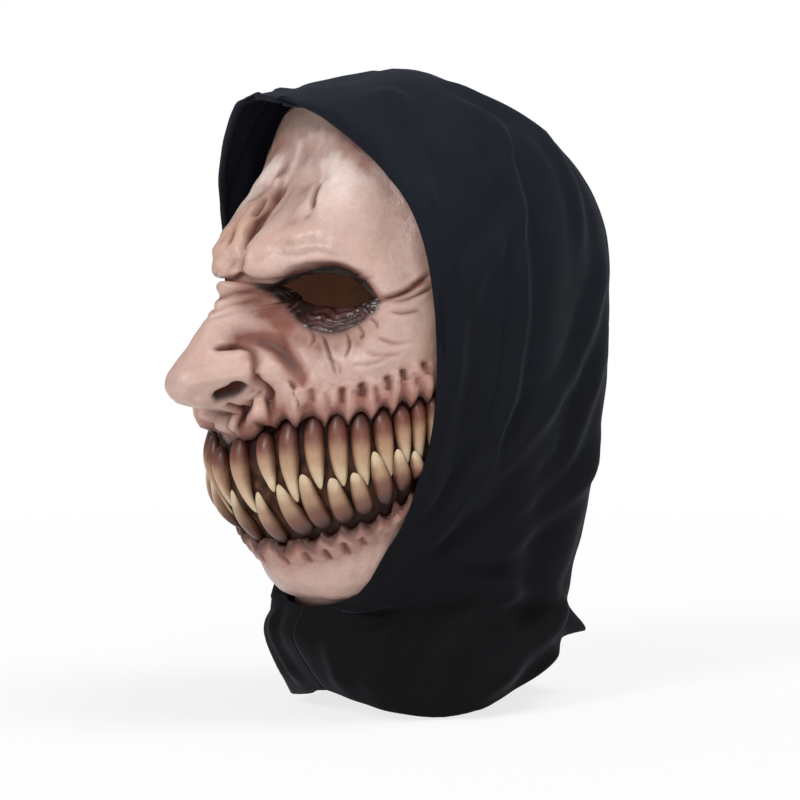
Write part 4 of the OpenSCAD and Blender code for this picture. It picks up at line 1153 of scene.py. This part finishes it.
def hood_panel(side):
    """A panel of the hood with its turned edges. Gives the piece and the lines of its two seams."""
    rim_rows = np.linspace(0, NECK_S, RIM_ROWS, endpoint=False)
    rows = np.concatenate([rim_rows, np.linspace(NECK_S, 1, NECK_ROWS)])
    cols = steps([0, 0.1, FRONT, 1], [18, 44, 56])
    s, i = np.meshgrid(rows, cols, indexing="ij")
    points = hood_pt(s, i, side)
    push = 0.8 * ripple(points, 60, 31) + 0.35 * ripple(points, 22, 32) + drapes(points, side)
    points = raised(points, push * ease(0, 0.1, i) * (1 - ease(0.93, 0.99, i)) * ease(0.0, 0.05, s))
    out = grid_normals(points)
    front = turned_edge(points[:, 0], unit(points[:, 1] - points[:, 0]), out[:, 0],
                        [points[:, k] - FLAP_DEPTH * out[:, k] for k in FLAP_COLS])
    points = np.concatenate([np.stack(front[::-1], 1), points], 1)
    out = np.concatenate([np.repeat(out[:, :1], len(front), 1), out], 1)
    hem = turned_edge(points[-1], unit(points[-2] - points[-1]), out[-1],
                      [points[-1 - k] - FLAP_DEPTH * out[-1 - k] for k in HEM_ROWS])
    points = np.concatenate([points, np.stack(hem, 0)], 0)
    points[..., 0] = np.maximum(points[..., 0], SEAM_GAP)
    kept = np.ones((points.shape[0] - 1, points.shape[1] - 1), bool)
    kept[int(RIM_ROWS * 0.97):, :len(front)] = False
    across, down = run_along(points, 1), run_along(points, 0)
    cloth = np.stack([across - across[:, -1:], down, 0 * down], -1)
    seams = points[:len(rows), -1].copy(), points[RIM_ROWS:len(rows), len(front)].copy()
    if side < 0:
        points, cloth, kept = (points * [-1, 1, 1])[:, ::-1], cloth[:, ::-1], kept[:, ::-1]
    tag = "left" if side > 0 else "right"
    mesh = grid_mesh("hood_cloth_" + tag, points, kept, {"cloth": cloth})
    obj = piece("hood_cloth_" + tag, mesh, [KNIT], [f"hood_{tag}_panel"], CLOTH_WALL)
    return obj, seams


TAPE_WALL, FELT_WALL = 0.8, 3.0


def seam_tape(name, node, line, turn):
    """Woven tape sewn over a seam, on the side that faces the wearer."""
    along = unit(np.gradient(line, axis=0))
    inward = turn * np.stack([0 * along[:, 0], -along[:, 2], along[:, 1]], -1)
    across = np.array([-4, -3, -1, 0, 1, 3, 4]) * turn
    lines = [line * [0, 1, 1] + [x, 0, 0] + inward * (1.9 + 0.25 * (abs(x) < 2)) for x in across]
    piece(name, grid_mesh(name, np.stack(lines, 1)), [TAPE], [node], TAPE_WALL)


def felt_strip(side):
    """Felt that bonds the hood to the side of the face."""
    t, p = np.meshgrid(np.linspace(78, 88.5, 8), np.linspace(58, -96, 60))
    high = 3.5 - 2.2 * (1 - ease(-92, -52, p)) + 0.3 * ripple(base_pt(t, p), 6, 41)
    points = base_pt(t, p) + high[..., None] * out_dir(t, p)
    name = "left_bond_felt" if side > 0 else "right_bond_felt"
    if side < 0:
        points = (points * [-1, 1, 1])[:, ::-1]
    piece(name, grid_mesh(name, points), [FELT], [name.replace("felt", "strip")], FELT_WALL)


upper_face()
chin()
gum()
teeth()
left_hood, (crown_line, front_line) = hood_panel(1)
right_hood, _ = hood_panel(-1)
seam_tape("crown_tape", "crown_seam_tape", crown_line[5:-2], -1)
seam_tape("front_tape", "front_seam_tape", front_line[:-1], 1)
for side in BOTH:
    felt_strip(side)


# Floor, light and camera

def floor():
    """White floor under the mask. It glows to the camera, so that it meets the white behind it."""
    bm = bmesh.new()
    bmesh.ops.create_grid(bm, x_segments=2, y_segments=2, size=6)
    for v in bm.verts:
        v.co.z = cad_box[0][2] - 0.0005
    mesh = mesh_of(bm, "studio_floor")
    linked("studio_floor", mesh)
    f = Finish("studio_floor_white")
    f.set(Base_Color=(0.92, 0.92, 0.92, 1), Roughness=0.9)
    ray = f.add("ShaderNodeLightPath").outputs
    seen = f.sum(ray["Is Glossy Ray"], ray["Is Transmission Ray"], "MAXIMUM")
    seen = f.sum(ray["Is Camera Ray"], seen, "MAXIMUM")
    glow = f.add("ShaderNodeEmission", {"Color": (1, 1, 1, 1), "Strength": 1.0})
    away = f.add("ShaderNodeVectorMath", {0: f.coords()}, operation="LENGTH").outputs["Value"]
    share = f.times(seen, f.spread(away, 0.35, 1.6, 0.78, 1.0))
    blend = f.add("ShaderNodeMixShader", {0: share, 1: f.shader.outputs[0], 2: glow.outputs[0]})
    f.tree.links.new(blend.outputs[0], f.tree.nodes["Material Output"].inputs["Surface"])
    mesh.materials.append(f.material)


def surroundings():
    """Soft light from all round, and plain white behind the mask."""
    world = bpy.data.worlds.new("studio_world")
    bpy.context.scene.world = world
    world.use_nodes = True
    nodes, links = world.node_tree.nodes, world.node_tree.links
    soft = nodes["Background"]
    soft.inputs["Color"].default_value = (0.93, 0.96, 1, 1)
    soft.inputs["Strength"].default_value = 0.32
    white = nodes.new("ShaderNodeBackground")
    white.inputs["Color"].default_value = (1, 1, 1, 1)
    ray = nodes.new("ShaderNodeLightPath").outputs
    either = nodes.new("ShaderNodeMath")
    either.operation = "MAXIMUM"
    links.new(ray["Is Camera Ray"], either.inputs[0])
    links.new(ray["Is Transmission Ray"], either.inputs[1])
    mix = nodes.new("ShaderNodeMixShader")
    for k, source in enumerate((either, soft, white)):
        links.new(source.outputs[0], mix.inputs[k])
    links.new(mix.outputs[0], nodes["World Output"].inputs["Surface"])


def toward(azimuth, elevation):
    """Direction from the mask: azimuth from its front to its left, then elevation."""
    level = cos_deg(elevation)
    return np.array([sin_deg(azimuth) * level, -cos_deg(azimuth) * level, sin_deg(elevation)])


def look_at(obj, place, target):
    """Puts a light or a camera at a place, turned to a target."""
    back = unit(place - target)
    right = unit(np.cross([0, 0, 1], back))
    pose = np.identity(4)
    for k, column in enumerate((right, np.cross(back, right), back, place)):
        pose[:3, k] = column
    obj.matrix_world = pose.T.tolist()


def lamp(name, azimuth, elevation, spread, strength):
    """A far soft light; spread is the angle across it."""
    data = bpy.data.lights.new(name, "SUN")
    data.angle, data.energy = np.radians(spread), strength
    look_at(linked(name, data), toward(azimuth, elevation) * 2, np.zeros(3))


floor()
surroundings()
lamp("key_light", 14, 34, 16, 1.45)
lamp("rim_light", 120, 66, 30, 1.5)
lamp("fill_light", 54, 2, 50, 1.0)

# Camera of the photo: where it stands, and how far right and down of the origin it aims, in metres
AZIMUTH, ELEVATION, AWAY = 50, 2, 1.3
AIM_RIGHT, AIM_DOWN = 0.006, 0.0525
camera = linked("photo_camera", bpy.data.cameras.new("photo_camera"))
camera.data.sensor_width = 36
camera.data.lens = 117
back = toward(AZIMUTH, ELEVATION)
right = np.array([cos_deg(AZIMUTH), sin_deg(AZIMUTH), 0])
aim = right * AIM_RIGHT - np.cross(back, right) * AIM_DOWN
look_at(camera, aim + back * AWAY, aim)
bpy.context.scene.camera = camera
bpy.context.scene.view_settings.view_transform = "Standard"
